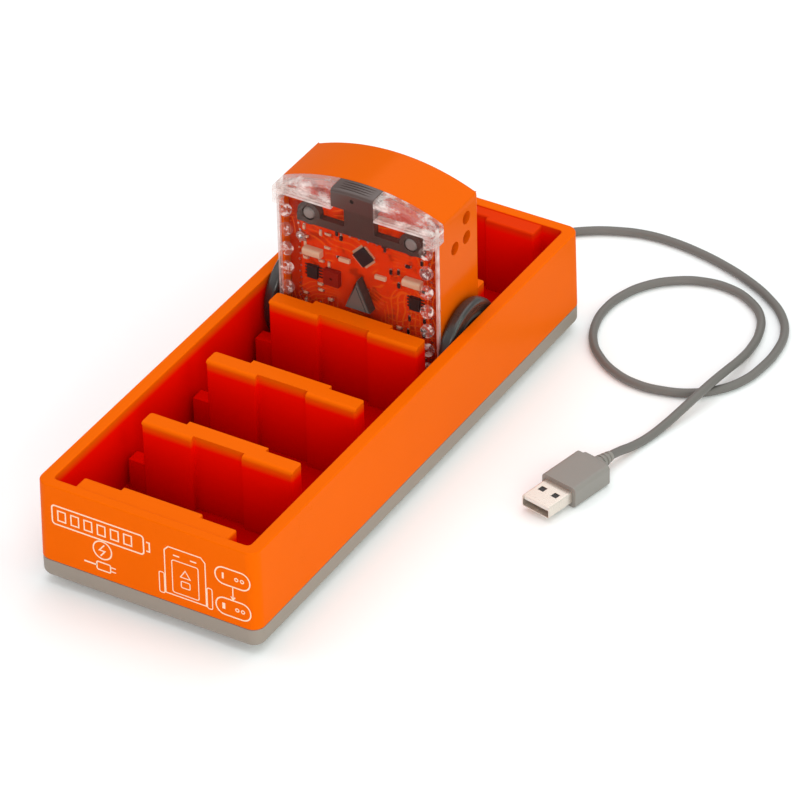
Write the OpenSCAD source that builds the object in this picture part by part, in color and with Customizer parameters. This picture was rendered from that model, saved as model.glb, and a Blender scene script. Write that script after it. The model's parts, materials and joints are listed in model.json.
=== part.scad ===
// Charging dock for coding robots: a five-slot tray on a grey base, with one robot
// standing nose-up in a slot and a free supply cord ending in a USB type A plug.
// X runs across the tray, Y from its printed end to its cord end, Z up from the table.
// The origin is the centre of the tray's footprint on the table. Millimetres.

/* [Robot body] */
// Width of the robot's shell, eight brick studs
robot_w = 64; // [62:0.5:68]
// Thickness of the robot from its clear face to its underside
robot_t = 27.9; // [27:0.1:33]
// Length of the robot from its rear end to the crown of its nose
robot_len = 79.6; // [78:0.2:96]
// How far the crown of the nose stands above its corners
nose_rise = 6.6; // [5.5:0.1:8]
// Wall thickness of the shell
shell_t = 1.8; // [1.5:0.1:2.2]
// Pitch of the brick studs and side holes
stud_pitch = 8; // [7.9:0.05:8.1]
// Diameter of a brick stud
stud_d = 4.8; // [4.6:0.05:5]
// Height of a brick stud
stud_h = 1.7; // [1.2:0.1:1.8]
// Diameter of a side brick hole
hole_d = 4.9; // [4.8:0.02:5]

/* [Wheels and gears] */
// Outer diameter of a tyre
tyre_d = 34.6; // [32:0.2:36]
// Width of a tyre
tyre_w = 4.6; // [3.6:0.1:6]
// Gap between the shell and a tyre
tyre_gap = 0.8; // [0.5:0.1:1.5]
// Diameter of an axle
axle_d = 3; // [2.5:0.1:3.5]
// Height of the axle above the robot's rear end
axle_up = 18.8; // [18.2:0.1:20]
// Gear module
gear_m = 0.5; // [0.48:0.01:0.52]
// Teeth on a small gear
teeth_small = 12; // [12:1:12]
// Teeth on a large gear
teeth_large = 26; // [26:1:26]

/* [Tray] */
// Clearance between a tyre and the tray's side wall
wheel_clear = 0.8; // [0.6:0.1:3]
// Width of the rim along the sides
side_wall = 4.65; // [4:0.05:7]
// Width of the rim at both ends
end_wall = 4.1; // [3.6:0.1:7]
// Clearance along a slot around the robot's thickness
slot_slack = 6.4; // [6:0.1:10]
// Thickness of a divider
divider_t = 6.4; // [5.4:0.1:9]
// Width of a divider
divider_w = 59.4; // [50:0.2:60]
// How far the low shoulders stand out at both ends of a divider
shoulder_w = 6.6; // [3:0.1:8]
// Height of the shoulders above the slot floor
shoulder_h = 12; // [6:0.2:14]
// Thickness of the block against each end wall
block_t = 6.25; // [5:0.05:9]
// Height of the rim above the table
rim_z = 41.4; // [38:0.2:50]
// Lean of the outer walls between rim and seam
wall_draft = 0.45; // [0.2:0.05:0.8]

/* [Base and cord] */
// Height of the rubber feet
foot_h = 2; // [1.6:0.1:3]
// Diameter of a rubber foot
foot_d = 12; // [8:0.5:14]
// Height of the grey base
base_h = 8.2; // [8:0.1:10]
// Diameter of the supply cord
cord_d = 3.2; // [3:0.1:3.5]
// Length of the overmoulded grip of the plug
grip_l = 20; // [18:0.5:24]

/* [Hidden] */
$fn = 48;
eps = 0.01;
gap = 0.1;                          // clearance between parts that are fitted together
run = 0.05;                         // radial clearance of a running fit

// tray
slots = 5;
slot_l = robot_t + slot_slack;
pitch = slot_l + divider_t;
seam_z = foot_h + base_h;
floor_t = 2;
floor_z = seam_z + 0.8;
tray_in_w = robot_w + 2 * (tyre_gap + tyre_w + wheel_clear);
tray_w = tray_in_w + 2 * side_wall;
clear_l = slots * slot_l + (slots - 1) * divider_t;
tray_in_l = clear_l + 2 * block_t;
tray_l = tray_in_l + 2 * end_wall;
foot_w = tray_w + 2 * wall_draft;   // width and length at the seam
foot_l = tray_l + 2 * wall_draft;
corner_r = 4;
skin = 1.6;                         // moulded skin of the tray and base
block_low = 0.6;                    // the end blocks stop this far below the rim
step_d = 1.9;                       // depth of the steps on a divider
step_back = 31;                     // width of the raised panel on a divider's rear face
step_front = 20;                    // width of the recessed panel on its front face
robot_slot = 3;                     // the robot stands in the fourth slot
slot_lead = 4.8;                    // from a slot's front face to the robot's clear face
face_y = -clear_l / 2 + robot_slot * pitch + slot_lead;
// a tyre reaches this far past its slot at the height of the shoulders
tyre_reach = slot_lead + robot_t / 2 - slot_l
    + sqrt(max(0, pow(tyre_d / 2, 2) - pow(axle_up - shoulder_h, 2)));
shoulder_back = max(0.4, tyre_reach + 0.7);

// charger board and its fixings
board_t = 1.2;
board_z = foot_h + skin + 1.6;
board_w = foot_w - 24;
board_l = foot_l - 26;
boss_x = foot_w / 2 - 7.4;
boss_y = foot_l / 2 - 14;
screw_d = 2.6;
screw_head = 5;
pin_d = 1.8;
pin_x = 6;
pin_y = 16;                         // contact pins behind the slot's front face

// robot, measured from its clear face (v) and its rear end (w)
nose_r = (pow(robot_w / 2, 2) + pow(nose_rise, 2)) / (2 * nose_rise);
nose_corner = robot_len - nose_rise;
cover_t = 1.6;
lens_out = 2.6;                     // how far the nose lens stands in front of the cover
lens_low = nose_corner - 2.6;       // lower edge of the nose lens
lens_tip = nose_corner - 7;         // lower end of the lens at both sides
lens_back = 4.7;                    // where the lens meets the shell on the nose
window_w = 17;
pcb_v = 4.7;
pcb_t = 1.6;
shell_v = cover_t + gap;
shell_in = robot_t - shell_t;
side_x = robot_w / 2 - shell_t;     // inner face of the shell's side wall
axle_v = robot_t / 2;
axle_w = axle_up;
hub_out = robot_w / 2 + tyre_gap + tyre_w;
tyre_in_r = tyre_d / 2 - 4.6;
mesh = gear_m * (teeth_small + teeth_large) / 2 + 0.06;
idler_w = axle_w + mesh;
motor_w = idler_w + mesh;
frame_x = 18;                       // inner face of the gearbox frame
frame_t = 2;
low_gear_x = frame_x + frame_t + 0.8;
gear_t = 2.6;
high_gear_x = low_gear_x + gear_t + 0.8;
idler_d = 2;
shaft_d = 1.5;
motor_l = 15;
motor_y = 10;
motor_z = 12;
post_x = side_x - 5.4;
post_low = 6;
post_high = 50.5;
post_d = 5;
board_screw_d = 2;
stud_x = 3.5 * stud_pitch;
stud_low = 0.875 * stud_pitch;
stud_rows = 8;
hole_low = stud_low + 6.5 * stud_pitch;
hole_near = axle_v - 2;
hole_deep = 7.9;
battery_w = 43;
battery_h = 17;
battery_t = 12;
battery_low = nose_corner - 28;
door_w = 42;
door_h = 19;
door_low = battery_low - 1;
button_top = 0.9;                   // buttons stand this far out of the clear face
button_gap = 0.3;
button_floor = 3.1;
play_w = 30.2;
stop_w = 21.4;
record_w = 9.8;
switch_x = 10;
switch_w = 11;
switch_travel = 3;

// cord route on the table, from the gland to the plug
cord_r = cord_d / 2;
gland_l = 9;
gland_d = 5;
gland_z = foot_h + 5;
plug_z = 4.1;
plug_turn = 12;
relief_l = 7;
// each point is x, distance behind the tray's rear wall, height of the cord's centre
cord_route = [
    [0, gland_l, gland_z], [0, 13, gland_z - 0.1], [0.5, 19, 5.6], [2, 27, 3.4],
    [5, 36, 2.1], [10, 45, cord_r], [17.5, 51.5, cord_r], [27, 56.5, cord_r],
    [37, 59.5, cord_r], [48, 60, cord_r], [60, 58.5, cord_r], [72, 55.5, cord_r],
    [84, 51, cord_r], [95, 45, cord_r], [104, 37.5, cord_r], [110, 28, cord_r],
    [112.5, 17, cord_r], [112.5, 6, cord_r], [110.5, -4.5, cord_r],
    [105.5, -13.5, cord_r], [98, -20, cord_r], [89, -23.5, cord_r],
    [79, -24.5, cord_r], [69, -22, cord_r], [60, -16.5, cord_r], [53, -9, cord_r],
    [48.5, 1, cord_r], [47, 11, cord_r], [48.5, 21.5, cord_r], [53, 31, cord_r],
    [60.5, 38.5, cord_r], [70, 43, cord_r], [80.5, 43.5, cord_r], [90, 40, cord_r],
    [97.5, 33.5, cord_r], [102, 24, cord_r], [104, 14, 2.1], [104.8, 4.5, 3.4],
    [104.6, -5, 4.7], [103.8, -14.5, 5.2], [102.6, -24, 4.7], [101, -33, 3.4],
    [99.2, -42, 2.1], [97.3, -51, cord_r], [95.4, -58.5, 2.2],
    [93.9, -64, 3.3], [92.7, -69, plug_z]
];

// ---------------------------------------------------------------- helpers

module slab(w, l, r, z, t) {
    translate([0, 0, z]) linear_extrude(t) union() {
        square([w - 2 * r, l], center = true);
        square([w, l - 2 * r], center = true);
        for (x = [-1, 1], y = [-1, 1])
            translate([x * (w / 2 - r), y * (l / 2 - r)]) circle(r, $fn = 32);
    }
}

module block(x0, x1, y0, y1, z0, z1) {
    translate([x0, y0, z0]) cube([x1 - x0, y1 - y0, z1 - z0]);
}

// from robot measures (x, v, w) to the shared frame
module robot_place() {
    translate([0, face_y, floor_z]) children();
}

// turns a profile drawn in x and w into a solid between two v planes
module deep(v0, v1) {
    translate([0, v1, 0]) rotate([90, 0, 0]) linear_extrude(v1 - v0) children();
}

// a cylinder along v, x or w
module rod_v(x, w, v0, v1, d) {
    translate([x, v1, w]) rotate([90, 0, 0]) cylinder(h = v1 - v0, d = d);
}

module rod_x(x0, x1, v, w, d) {
    translate([x0, v, w]) rotate([0, 90, 0]) cylinder(h = x1 - x0, d = d);
}

module mirrored(side) {
    if (side > 0) children();
    else mirror([1, 0, 0]) children();
}

// outline of the robot seen from its clear face
module outline(inset, low) {
    intersection() {
        translate([-robot_w / 2 + inset, low])
            square([robot_w - 2 * inset, robot_len - low]);
        translate([0, robot_len - nose_r]) circle(nose_r - inset, $fn = 240);
        rotate(45) translate([-100, -100]) square([100 + corner_cut(inset), 200]);
        rotate(-45) translate([-corner_cut(inset), -100]) square([200, 200]);
    }
}

function corner_cut(inset) =
    (robot_w / 2 + nose_corner) / sqrt(2) - 1.2 - inset;

// ---------------------------------------------------------------- gears

function involute(rb, a) =
    [rb * (cos(a) + a * PI / 180 * sin(a)), rb * (sin(a) - a * PI / 180 * cos(a))];

function roll(rb, r) = r <= rb ? 0 : 180 / PI * sqrt(r * r / (rb * rb) - 1);

function spun(p, a) = [p.x * cos(a) - p.y * sin(a), p.x * sin(a) + p.y * cos(a)];

// one tooth centred on the x axis: right flank outwards, left flank back in
function tooth(n, play, tip) =
    let (rp = gear_m * n / 2, rb = rp * cos(25), ra = rp + tip * gear_m,
         rf = rp - 1.2 * gear_m, at = roll(rb, rp),
         lead = at - atan(at * PI / 180),
         half = 90 / n - play / rp * 90 / PI + lead,
         steps = [0, 0.34, 0.67, 1],
         flank = [for (s = steps) involute(rb, roll(rb, max(rf, rb) + s * (ra - max(rf, rb))))])
    concat([spun([rf, 0], -half)],
           [for (p = flank) spun(p, -half)],
           [for (i = [3:-1:0]) spun([flank[i].x, -flank[i].y], half)],
           [spun([rf, 0], half)]);

module gear_profile(n) {
    polygon([for (k = [0:n - 1]) for (p = tooth(n, 0.1, 0.85)) spun(p, k * 360 / n)]);
}

module gear(n, x0, x1, w, bore, turn) {
    translate([x0, axle_v, w]) rotate([0, 90, 0]) rotate(turn)
        linear_extrude(x1 - x0) difference() {
            gear_profile(n);
            circle(d = bore, $fn = 32);
        }
}

// ---------------------------------------------------------------- tray

module tray_hollow(low) {
    difference() {
        slab(tray_w - 2 * skin, tray_l - 2 * skin, corner_r - 1, low, rim_z - skin - low);
        slab(tray_in_w + 2 * skin, tray_in_l + 2 * skin, 1, low - 1, rim_z);
    }
}

module end_block(s) {
    y = clear_l / 2 * s;
    translate([0, y, 0]) mirrored_y(s) {
        block(-divider_w / 2, divider_w / 2, 0, block_t + eps, floor_z - eps,
              rim_z - block_low);
        if (s < 0)
            block(-step_back / 2, step_back / 2, -step_d, eps, floor_z - eps,
                  rim_z - block_low);
    }
}

module rear_recess() {
    block(-step_front / 2, step_front / 2, clear_l / 2 - eps, clear_l / 2 + step_d,
          floor_z, rim_z + 1);
}

module mirrored_y(s) {
    if (s > 0) children();
    else mirror([0, 1, 0]) children();
}

module tray_shell() {
    color("darkorange") difference() {
        union() {
            difference() {
                hull() {
                    slab(foot_w, foot_l, corner_r + 0.5, seam_z, 0.2);
                    slab(tray_w, tray_l, corner_r, rim_z - 0.6, 0.2);
                    slab(tray_w - 0.8, tray_l - 0.8, corner_r - 0.4, rim_z - 0.2, 0.2);
                }
                slab(tray_in_w, tray_in_l, 1.5, floor_z, rim_z);
            }
            slab(tray_in_w + 2 * skin, tray_in_l + 2 * skin, 1,
                 floor_z - floor_t, floor_t - 0.8 + eps);
            end_block(-1);
            end_block(1);
            for (x = [-1, 1], y = [-1, 0, 1])
                translate([x * boss_x, y * boss_y, foot_h + skin])
                    cylinder(h = floor_z - floor_t - foot_h - skin + eps, d = 6);
        }
        rear_recess();
        tray_hollow(seam_z - 3);
        for (s = [-1, 1]) translate([0, s * (clear_l / 2 + skin), 0]) mirrored_y(s)
            block(-divider_w / 2 + skin, divider_w / 2 - skin, step_d, block_t + skin,
                  floor_z - 4, rim_z - skin);
        for (k = [1:slots - 1]) divider_core(k, floor_z - 4, floor_z + 1);
        for (k = [0:slots - 1], x = [-1, 1])
            translate([x * pin_x, slot_front(k) + pin_y, floor_z - 4])
                cylinder(h = 6, d = pin_d + 0.4);
        for (x = [-1, 1], y = [-1, 0, 1])
            translate([x * boss_x, y * boss_y, foot_h]) cylinder(h = 6.6, d = screw_d + 0.04);
    }
}

function slot_front(k) = -clear_l / 2 + k * pitch;

// the hollow that is open below inside divider k
module divider_core(k, z0, z1) {
    y = slot_front(k);
    block(-divider_w / 2 + skin, divider_w / 2 - skin, y - divider_t + step_d + skin,
          y - skin, z0, z1);
}

module divider(k) {
    y = slot_front(k);
    color("orange") difference() {
        union() {
            block(-divider_w / 2, divider_w / 2, y - divider_t, y, floor_z, rim_z);
            block(-step_back / 2, step_back / 2, y - eps, y + step_d, floor_z, rim_z);
            for (s = [-1, 1]) mirrored(s)
                block(divider_w / 2 - eps, divider_w / 2 + shoulder_w,
                      y - divider_t + shoulder_back, y, floor_z, floor_z + shoulder_h);
        }
        block(-step_front / 2, step_front / 2, y - divider_t - eps,
              y - divider_t + step_d, floor_z - 1, rim_z + 1);
        divider_core(k, floor_z - 1, rim_z - skin);
    }
}

// ---------------------------------------------------------------- base

module base_cover() {
    color("gray") difference() {
        hull() {
            slab(foot_w, foot_l, corner_r + 0.5, foot_h + 3.6, base_h - 3.6);
            slab(foot_w - 1.6, foot_l - 1.6, corner_r, foot_h + 1.2, 0.2);
            slab(foot_w - 5, foot_l - 5, corner_r, foot_h, 0.2);
        }
        slab(foot_w - 2 * skin, foot_l - 2 * skin, corner_r - 1, foot_h + skin, base_h);
        for (x = [-1, 1], y = [-1, 0, 1]) translate([x * boss_x, y * boss_y, 0]) {
            cylinder(h = base_h, d = screw_d + 0.6);
            cylinder(h = foot_h + 1, d = screw_head + 0.4);
        }
        translate([0, foot_l / 2 + 1, gland_z]) rotate([90, 0, 0])
            cylinder(h = 6, d = gland_d + 2 * gap);
    }
    color("gray") for (x = [-1, 1], y = [-1, 1])
        translate([x * (board_w / 2 - 4), y * (board_l / 2 - 12), foot_h + skin - eps])
            cylinder(h = board_z - foot_h - skin + eps, d = 5);
}

module rubber_feet() {
    color("dimgray") for (x = [-1, 1], y = [-1, 1])
        translate([x * (foot_w / 2 - 18), y * (foot_l / 2 - 16), 0])
            cylinder(h = foot_h, d = foot_d);
}

module base_screws() {
    color("silver") for (x = [-1, 1], y = [-1, 0, 1])
        translate([x * boss_x, y * boss_y, foot_h + 0.1]) difference() {
            union() {
                cylinder(h = 0.9, d = screw_head);
                cylinder(h = 6, d = screw_d);
            }
            translate([0, 0, -1]) cylinder(h = 1.5, d = 2.2, $fn = 6);
        }
}

module charger_board() {
    color("green") difference() {
        block(-board_w / 2, board_w / 2, -board_l / 2, board_l / 2, board_z, board_z + board_t);
        for (k = [0:slots - 1], x = [-1, 1])
            translate([x * pin_x, slot_front(k) + pin_y, board_z - 1])
                cylinder(h = 4, d = pin_d + 0.04);
    }
}

module charge_chips() {
    color("black") for (k = [0:slots - 1])
        translate([-16, slot_front(k) + 10, board_z + board_t]) cube([5, 6, 1.4]);
}

module contact_pins() {
    color("gold") for (k = [0:slots - 1], x = [-1, 1])
        translate([x * pin_x, slot_front(k) + pin_y, board_z]) {
            cylinder(h = floor_z - board_z + 0.4, d = pin_d);
            translate([0, 0, floor_z - board_z + 0.4]) cylinder(h = 0.3, d1 = pin_d, d2 = 0.8);
        }
}

// ---------------------------------------------------------------- cord and plug

module cord_gland() {
    color("gray") translate([0, foot_l / 2, gland_z]) rotate([-90, 0, 0]) {
        translate([0, 0, -skin - gap - 1.1]) cylinder(h = 1.1, d = 6);
        translate([0, 0, -skin - gap - eps]) cylinder(h = skin + gap + 0.1, d = gland_d);
        translate([0, 0, 0.05]) cylinder(h = 1.2, d = 6.2);
        translate([0, 0, 1.2]) cylinder(h = gland_l - 1.2, d1 = 5.6, d2 = 4.2);
    }
}

function turned(v) = v / max(norm(v), 0.000001);

// points, tangents and a ring of eight points around each
function cord_at(i) = [cord_route[i].x, foot_l / 2 + cord_route[i].y, cord_route[i].z];

cord_n = len(cord_route);
function heading(i) =
    i == 0 ? [0, 1, 0]
    : i == cord_n - 1 ? [-sin(plug_turn), -cos(plug_turn), 0]
    : turned(cord_at(i + 1) - cord_at(i - 1));

function ring(i) =
    let (t = heading(i), side = turned(cross([0, 0, 1], t)), up = cross(t, side))
    [for (k = [0:7]) cord_at(i)
        + cord_r * (cos(22.5 + 45 * k) * side + sin(22.5 + 45 * k) * up)];

module cord() {
    pts = [for (i = [0:cord_n - 1]) for (p = ring(i)) p];
    walls = [for (i = [0:cord_n - 2]) for (k = [0:7])
        [8 * i + k, 8 * (i + 1) + k, 8 * (i + 1) + (k + 1) % 8, 8 * i + (k + 1) % 8]];
    near = [for (k = [0:7]) k];
    far = [for (k = [7:-1:0]) 8 * (cord_n - 1) + k];
    color("gray") polyhedron(pts, concat(walls, [near, far]), 4);
}

plug_at = cord_at(cord_n - 1);

// local x runs from the cord out through the plug's mouth
module plug_place() {
    translate(plug_at) rotate(-90 - plug_turn) children();
}

module plug_relief() {
    color("gray") plug_place() rotate([0, 90, 0])
        cylinder(h = relief_l, d1 = 3.6, d2 = 6);
}

module plug_grip() {
    color("gray") plug_place() translate([relief_l, 0, 0]) difference() {
        union() {
            block(2, grip_l, -7.6, 7.6, -4.1, 4.1);
            block(0, 2 + eps, -5.6, 5.6, -3.6, 3.6);
        }
        block(grip_l - 6, grip_l + 1, -6, 6, -2.25, 2.25);
    }
}

module plug_shell() {
    color("silver") plug_place() translate([relief_l + grip_l - 6, 0, 0]) difference() {
        block(0, 18, -6, 6, -2.25, 2.25);
        block(-1, 19, -5.7, 5.7, -1.95, 1.95);
        for (y = [-1, 1]) block(9.8, 12.2, y * 2.9 - 1.2, y * 2.9 + 1.2, -4, 4);
    }
}

module plug_tongue() {
    color("white") plug_place() translate([relief_l + grip_l - 5.9, 0, 0])
        block(0, 17, -5.65, 5.65, 0, 1.9);
}

module plug_contacts() {
    color("gold") plug_place() translate([relief_l + grip_l - 1, 0, 0])
        for (y = [-3.5, -1, 1, 3.5])
            block(0, abs(y) > 2 ? 11 : 10, y - 0.5, y + 0.5, -0.2, 0);
}

// ---------------------------------------------------------------- robot body

module robot_shell() {
    color("orange") robot_place() difference() {
        union() {
            difference() {
                deep(shell_v, robot_t) outline(0, 0);
                deep(-1, shell_in) outline(shell_t, shell_t);
                block(-50, 50, -1, lens_back, lens_tip - gap, robot_len + 1);
            }
            for (s = [-1, 1], w = [post_low, post_high])
                rod_v(s * post_x, w, pcb_v + pcb_t, shell_in + eps, post_d);
            for (s = [-1, 1]) mirrored(s) {
                for (h = side_holes())
                    rod_x(robot_w / 2 - hole_deep, side_x + eps, h.x, h.y, hole_d + 1.8);
                rod_x(side_x - 1.4, side_x + eps, axle_v, idler_w, 4.4);
            }
        }
        for (s = [-1, 1]) mirrored(s) {
            for (h = side_holes())
                rod_x(robot_w / 2 - hole_deep - 1, robot_w / 2 + 1, h.x, h.y, hole_d);
            rod_x(side_x - 1, robot_w / 2 + 1, axle_v, axle_w, axle_d + 2 * run);
            rod_x(side_x - 2, side_x + 0.6, axle_v, idler_w, idler_d + 0.04);
            rod_v(post_x, post_low, 0, 16, board_screw_d + 0.04);
            rod_v(post_x, post_high, 0, 16, board_screw_d + 0.04);
            translate([pin_x, pad_v(), -1]) cylinder(h = 4, d = 5 + 0.1);
        }
        block(-door_w / 2, door_w / 2, shell_in - 1, robot_t + 1, door_low, door_low + door_h);
        block(-5.1, 5.1, shell_in - 1, robot_t + 1, sensor_low() - 0.1, sensor_low() + 6.1);
        rod_v(0, skid_w(), shell_in - 1, robot_t + 1, 4 + 0.04);
        block(-switch_x - 1.6, -switch_x + 1.6 + switch_travel, shell_in - 1, robot_t + 1,
              switch_w - 1.6, switch_w + 1.6);
    }
}

function side_holes() = [
    [hole_near, hole_low], [hole_near + stud_pitch, hole_low],
    [hole_near + stud_pitch, hole_low + stud_pitch]
];
function pad_v() = pin_y - slot_lead;
function sensor_low() = door_low + door_h + 1.2;
function skid_w() = sensor_low() + 9.6;

module clear_cover() {
    color("white", 0.4) robot_place() difference() {
        union() {
            deep(0, cover_t) outline(0, 0);
            difference() {
                deep(-lens_out, lens_back - gap) outline(0, lens_tip);
                deep(-lens_out + 1.5, lens_back) outline(1.5, lens_tip - 1);
                block(-robot_w / 2 + 4, robot_w / 2 - 4, -5, 0, 0, lens_low);
            }
            block(-robot_w / 2 + 1, robot_w / 2 - 1, -lens_out + 1, cover_t,
                  lens_low, lens_low + 1.5);
            for (x = [-1, 1], k = [0:stud_rows - 1])
                rod_v(x * stud_x, stud_low + k * stud_pitch, -stud_h, eps, stud_d);
        }
        block(-robot_w / 2 + 3, robot_w / 2 - 3, -1, 3, lens_low + 1.5, robot_len - 5);
        block(-window_w / 2, window_w / 2, -5, lens_back + 1, lens_low + 1.4, robot_len + 1);
        deep(-1, 3) play_outline(button_gap);
        deep(-1, 3) stop_outline(button_gap);
        rod_v(0, record_w, -1, 3, 8.4 + 2 * button_gap);
    }
}

module play_outline(grow) {
    polygon([[-5 - grow * 1.4, play_w - grow], [5 + grow * 1.4, play_w - grow],
             [0, play_w + 12 + grow * 2.6]]);
}

module stop_outline(grow) {
    translate([-4 - grow, stop_w - 4 - grow]) square(8 + 2 * grow);
}

module receiver_window() {
    color("black") robot_place() intersection() {
        difference() {
            deep(-lens_out, lens_back - gap) outline(0, lens_low);
            deep(-lens_out + 2, lens_back - 1.4) outline(2, lens_low - 1);
        }
        block(-window_w / 2 + gap, window_w / 2 - gap, -5, lens_back, lens_low + 1.6,
              robot_len + 1);
    }
}

module sensor_bar() {
    color("dimgray") robot_place() difference() {
        union() {
            block(-25, 25, 1.8, pcb_v, nose_corner - 14.6, nose_corner - 11.4);
            block(-6, 6, 1.8, pcb_v, nose_corner - 11.5, nose_corner - 3);
            for (s = [-1, 1])
                block(s * 20.3 - 4.6, s * 20.3 + 4.6, 1.8, pcb_v,
                      nose_corner - 14.6, nose_corner - 6.6);
        }
        for (s = [-1, 1]) rod_v(s * 20.3, nose_corner - 10.6, 0, pcb_v + 1, 5.1);
    }
}

module nose_lamps() {
    color("ivory") robot_place() for (s = [-1, 1]) {
        rod_v(s * 20.3, nose_corner - 10.6, 3, pcb_v, 5);
        translate([s * 20.3, 3 + eps, nose_corner - 10.6]) rotate([90, 0, 0])
            cylinder(h = 1.2, d1 = 4.8, d2 = 3);
    }
}

module circuit_board() {
    color("firebrick") robot_place() difference() {
        deep(pcb_v, pcb_v + pcb_t) outline(shell_t + 0.4, 2.4);
        for (s = [-1, 1]) {
            rod_v(s * post_x, post_low, 0, 10, board_screw_d + 0.4);
            rod_v(s * post_x, post_high, 0, 10, board_screw_d + 0.4);
        }
    }
}

module board_screws() {
    color("silver") robot_place() for (s = [-1, 1], w = [post_low, post_high]) difference() {
        union() {
            rod_v(s * post_x, w, pcb_v - 1.1, pcb_v, 3.8);
            rod_v(s * post_x, w, pcb_v - eps, pcb_v + 8, board_screw_d);
        }
        translate([s * post_x, pcb_v - 0.5, w]) rotate([90, 0, 0]) cylinder(h = 2, d = 2, $fn = 6);
    }
}

module processor_chip() {
    color("black") robot_place() translate([0, pcb_v, 49.5]) rotate([90, 45, 0])
        translate([-3.5, -3.5, 0]) cube([7, 7, 1]);
}

module driver_chips() {
    color("black") robot_place() for (x = [-20.5, 20.5]) {
        block(x - 2, x + 2, pcb_v - 1.5, pcb_v, 34.5, 39.5);
        for (k = [0:3], s = [-1, 1])
            block(x + s * 2.7 - 0.75, x + s * 2.7 + 0.75, pcb_v - 0.3, pcb_v,
                  34.9 + 1.27 * k, 35.3 + 1.27 * k);
    }
}

module capacitors() {
    color("tan") robot_place() {
        for (x = [-20, 20]) rod_x(x - 3.6, x + 3.6, pcb_v - 1.5, 45.6, 3);
        block(4.6, 9, pcb_v - 1.2, pcb_v, 42.4, 44);
        block(-9.8, -5.4, pcb_v - 1.2, pcb_v, 45, 46.6);
    }
}

module buzzer() {
    color("maroon") robot_place() difference() {
        block(-15.5, -9.5, pcb_v - 2.2, pcb_v, 34.2, 40.2);
        rod_v(-12.5, 37.2, 0, pcb_v - 1.4, 1.2);
    }
}

module button_switches() {
    color("silver") robot_place() for (w = [play_w + 4.4, stop_w, record_w]) {
        block(-1.9, 1.9, pcb_v - 0.6, pcb_v, w - 1.9, w + 1.9);
        rod_v(0, w, pcb_v - 0.9, pcb_v - 0.6 + eps, 2.2);
    }
}

module play_button() {
    color("gray") robot_place() {
        deep(-button_top, button_floor) play_outline(0);
        block(-4, 4, button_floor - 0.8, button_floor, play_w - 1.6, play_w + 1);
    }
}

module stop_button() {
    color("gray") robot_place() {
        deep(-button_top, button_floor) stop_outline(0);
        deep(button_floor - 0.8, button_floor) stop_outline(0.8);
    }
}

module record_button() {
    color("gray") robot_place() {
        rod_v(0, record_w, -button_top, button_floor, 8.4);
        rod_v(0, record_w, button_floor - 0.8, button_floor, 10);
    }
}

module battery_pack() {
    color("steelblue") robot_place()
        block(-battery_w / 2, battery_w / 2, shell_in - 1 - battery_t, shell_in - 1,
              battery_low, battery_low + battery_h);
}

module battery_door() {
    color("orange") robot_place() difference() {
        union() {
            block(-door_w / 2 + gap, door_w / 2 - gap, shell_in, robot_t,
                  door_low + gap, door_low + door_h - gap);
            for (s = [-1, 1])
                block(s * 12 - 3, s * 12 + 3, shell_in - 0.9, shell_in + eps,
                      door_low - 1.4, door_low + 1);
        }
        for (k = [0:4])
            block(-8, 8, robot_t - 0.5, robot_t + 1, door_low + 4 + 2 * k, door_low + 4.8 + 2 * k);
    }
}

module line_sensor() {
    color("black") robot_place() difference() {
        block(-5, 5, shell_in - 2, robot_t - 0.2, sensor_low(), sensor_low() + 6);
        for (x = [-2.6, 2.6]) rod_v(x, sensor_low() + 3, robot_t - 1, robot_t + 1, 3);
    }
}

module front_skid() {
    color("dimgray") robot_place() {
        rod_v(0, skid_w(), shell_in - 0.8, robot_t + eps, 4);
        rod_v(0, skid_w(), robot_t, robot_t + 1, 7);
        intersection() {
            translate([0, robot_t - 0.6, skid_w()]) sphere(r = 4, $fn = 32);
            block(-6, 6, robot_t + 1 - eps, robot_t + 6, 0, 200);
        }
    }
}

module power_switch() {
    color("black") robot_place() {
        block(-switch_x - 1.4, -switch_x + 1.4, shell_in - 1.2, robot_t + 0.7,
              switch_w - 1.4, switch_w + 1.4);
        block(-switch_x - 2.4, -switch_x + 2.4, shell_in - 1.5, shell_in - 0.2,
              switch_w - 2.6, switch_w + 2.6);
    }
}

module charge_pads() {
    color("gold") robot_place() for (s = [-1, 1])
        translate([s * pin_x, pad_v(), 0.8]) cylinder(h = 1.6, d = 5);
}

// ---------------------------------------------------------------- drive

module motor() {
    color("silver") {
        difference() {
            translate([frame_x - motor_l, axle_v, motor_w]) rotate([0, 90, 0]) intersection() {
                cylinder(h = motor_l, d = motor_z);
                translate([-10, -motor_y / 2, -1]) cube([20, motor_y, 40]);
            }
            rod_x(frame_x - 8, frame_x + 1, axle_v, motor_w, shaft_d + 2 * run);
        }
        rod_x(frame_x - motor_l - 1, frame_x - motor_l + eps, axle_v, motor_w, 4);
    }
}

module gear_frame() {
    color("white") difference() {
        union() {
            block(frame_x, frame_x + frame_t, axle_v - 5.5, axle_v + 5.5, axle_w - 5, motor_w + 6);
            block(frame_x, frame_x + frame_t, axle_v + 5.4, shell_in, axle_w - 5, axle_w + 8);
            block(frame_x, frame_x + frame_t, axle_v + 5.4, shell_in, motor_w - 6, motor_w + 4);
        }
        rod_x(frame_x - 1, frame_x + 5, axle_v, axle_w, axle_d + 2 * run);
        rod_x(frame_x - 1, frame_x + 5, axle_v, idler_w, idler_d + 0.04);
        rod_x(frame_x - 1, frame_x + 5, axle_v, motor_w, shaft_d + 1);
    }
}

module idler_pins() {
    color("silver") robot_place() for (s = [-1, 1]) mirrored(s)
        rod_x(frame_x + 0.2, side_x + 0.5, axle_v, idler_w, idler_d);
}

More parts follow.
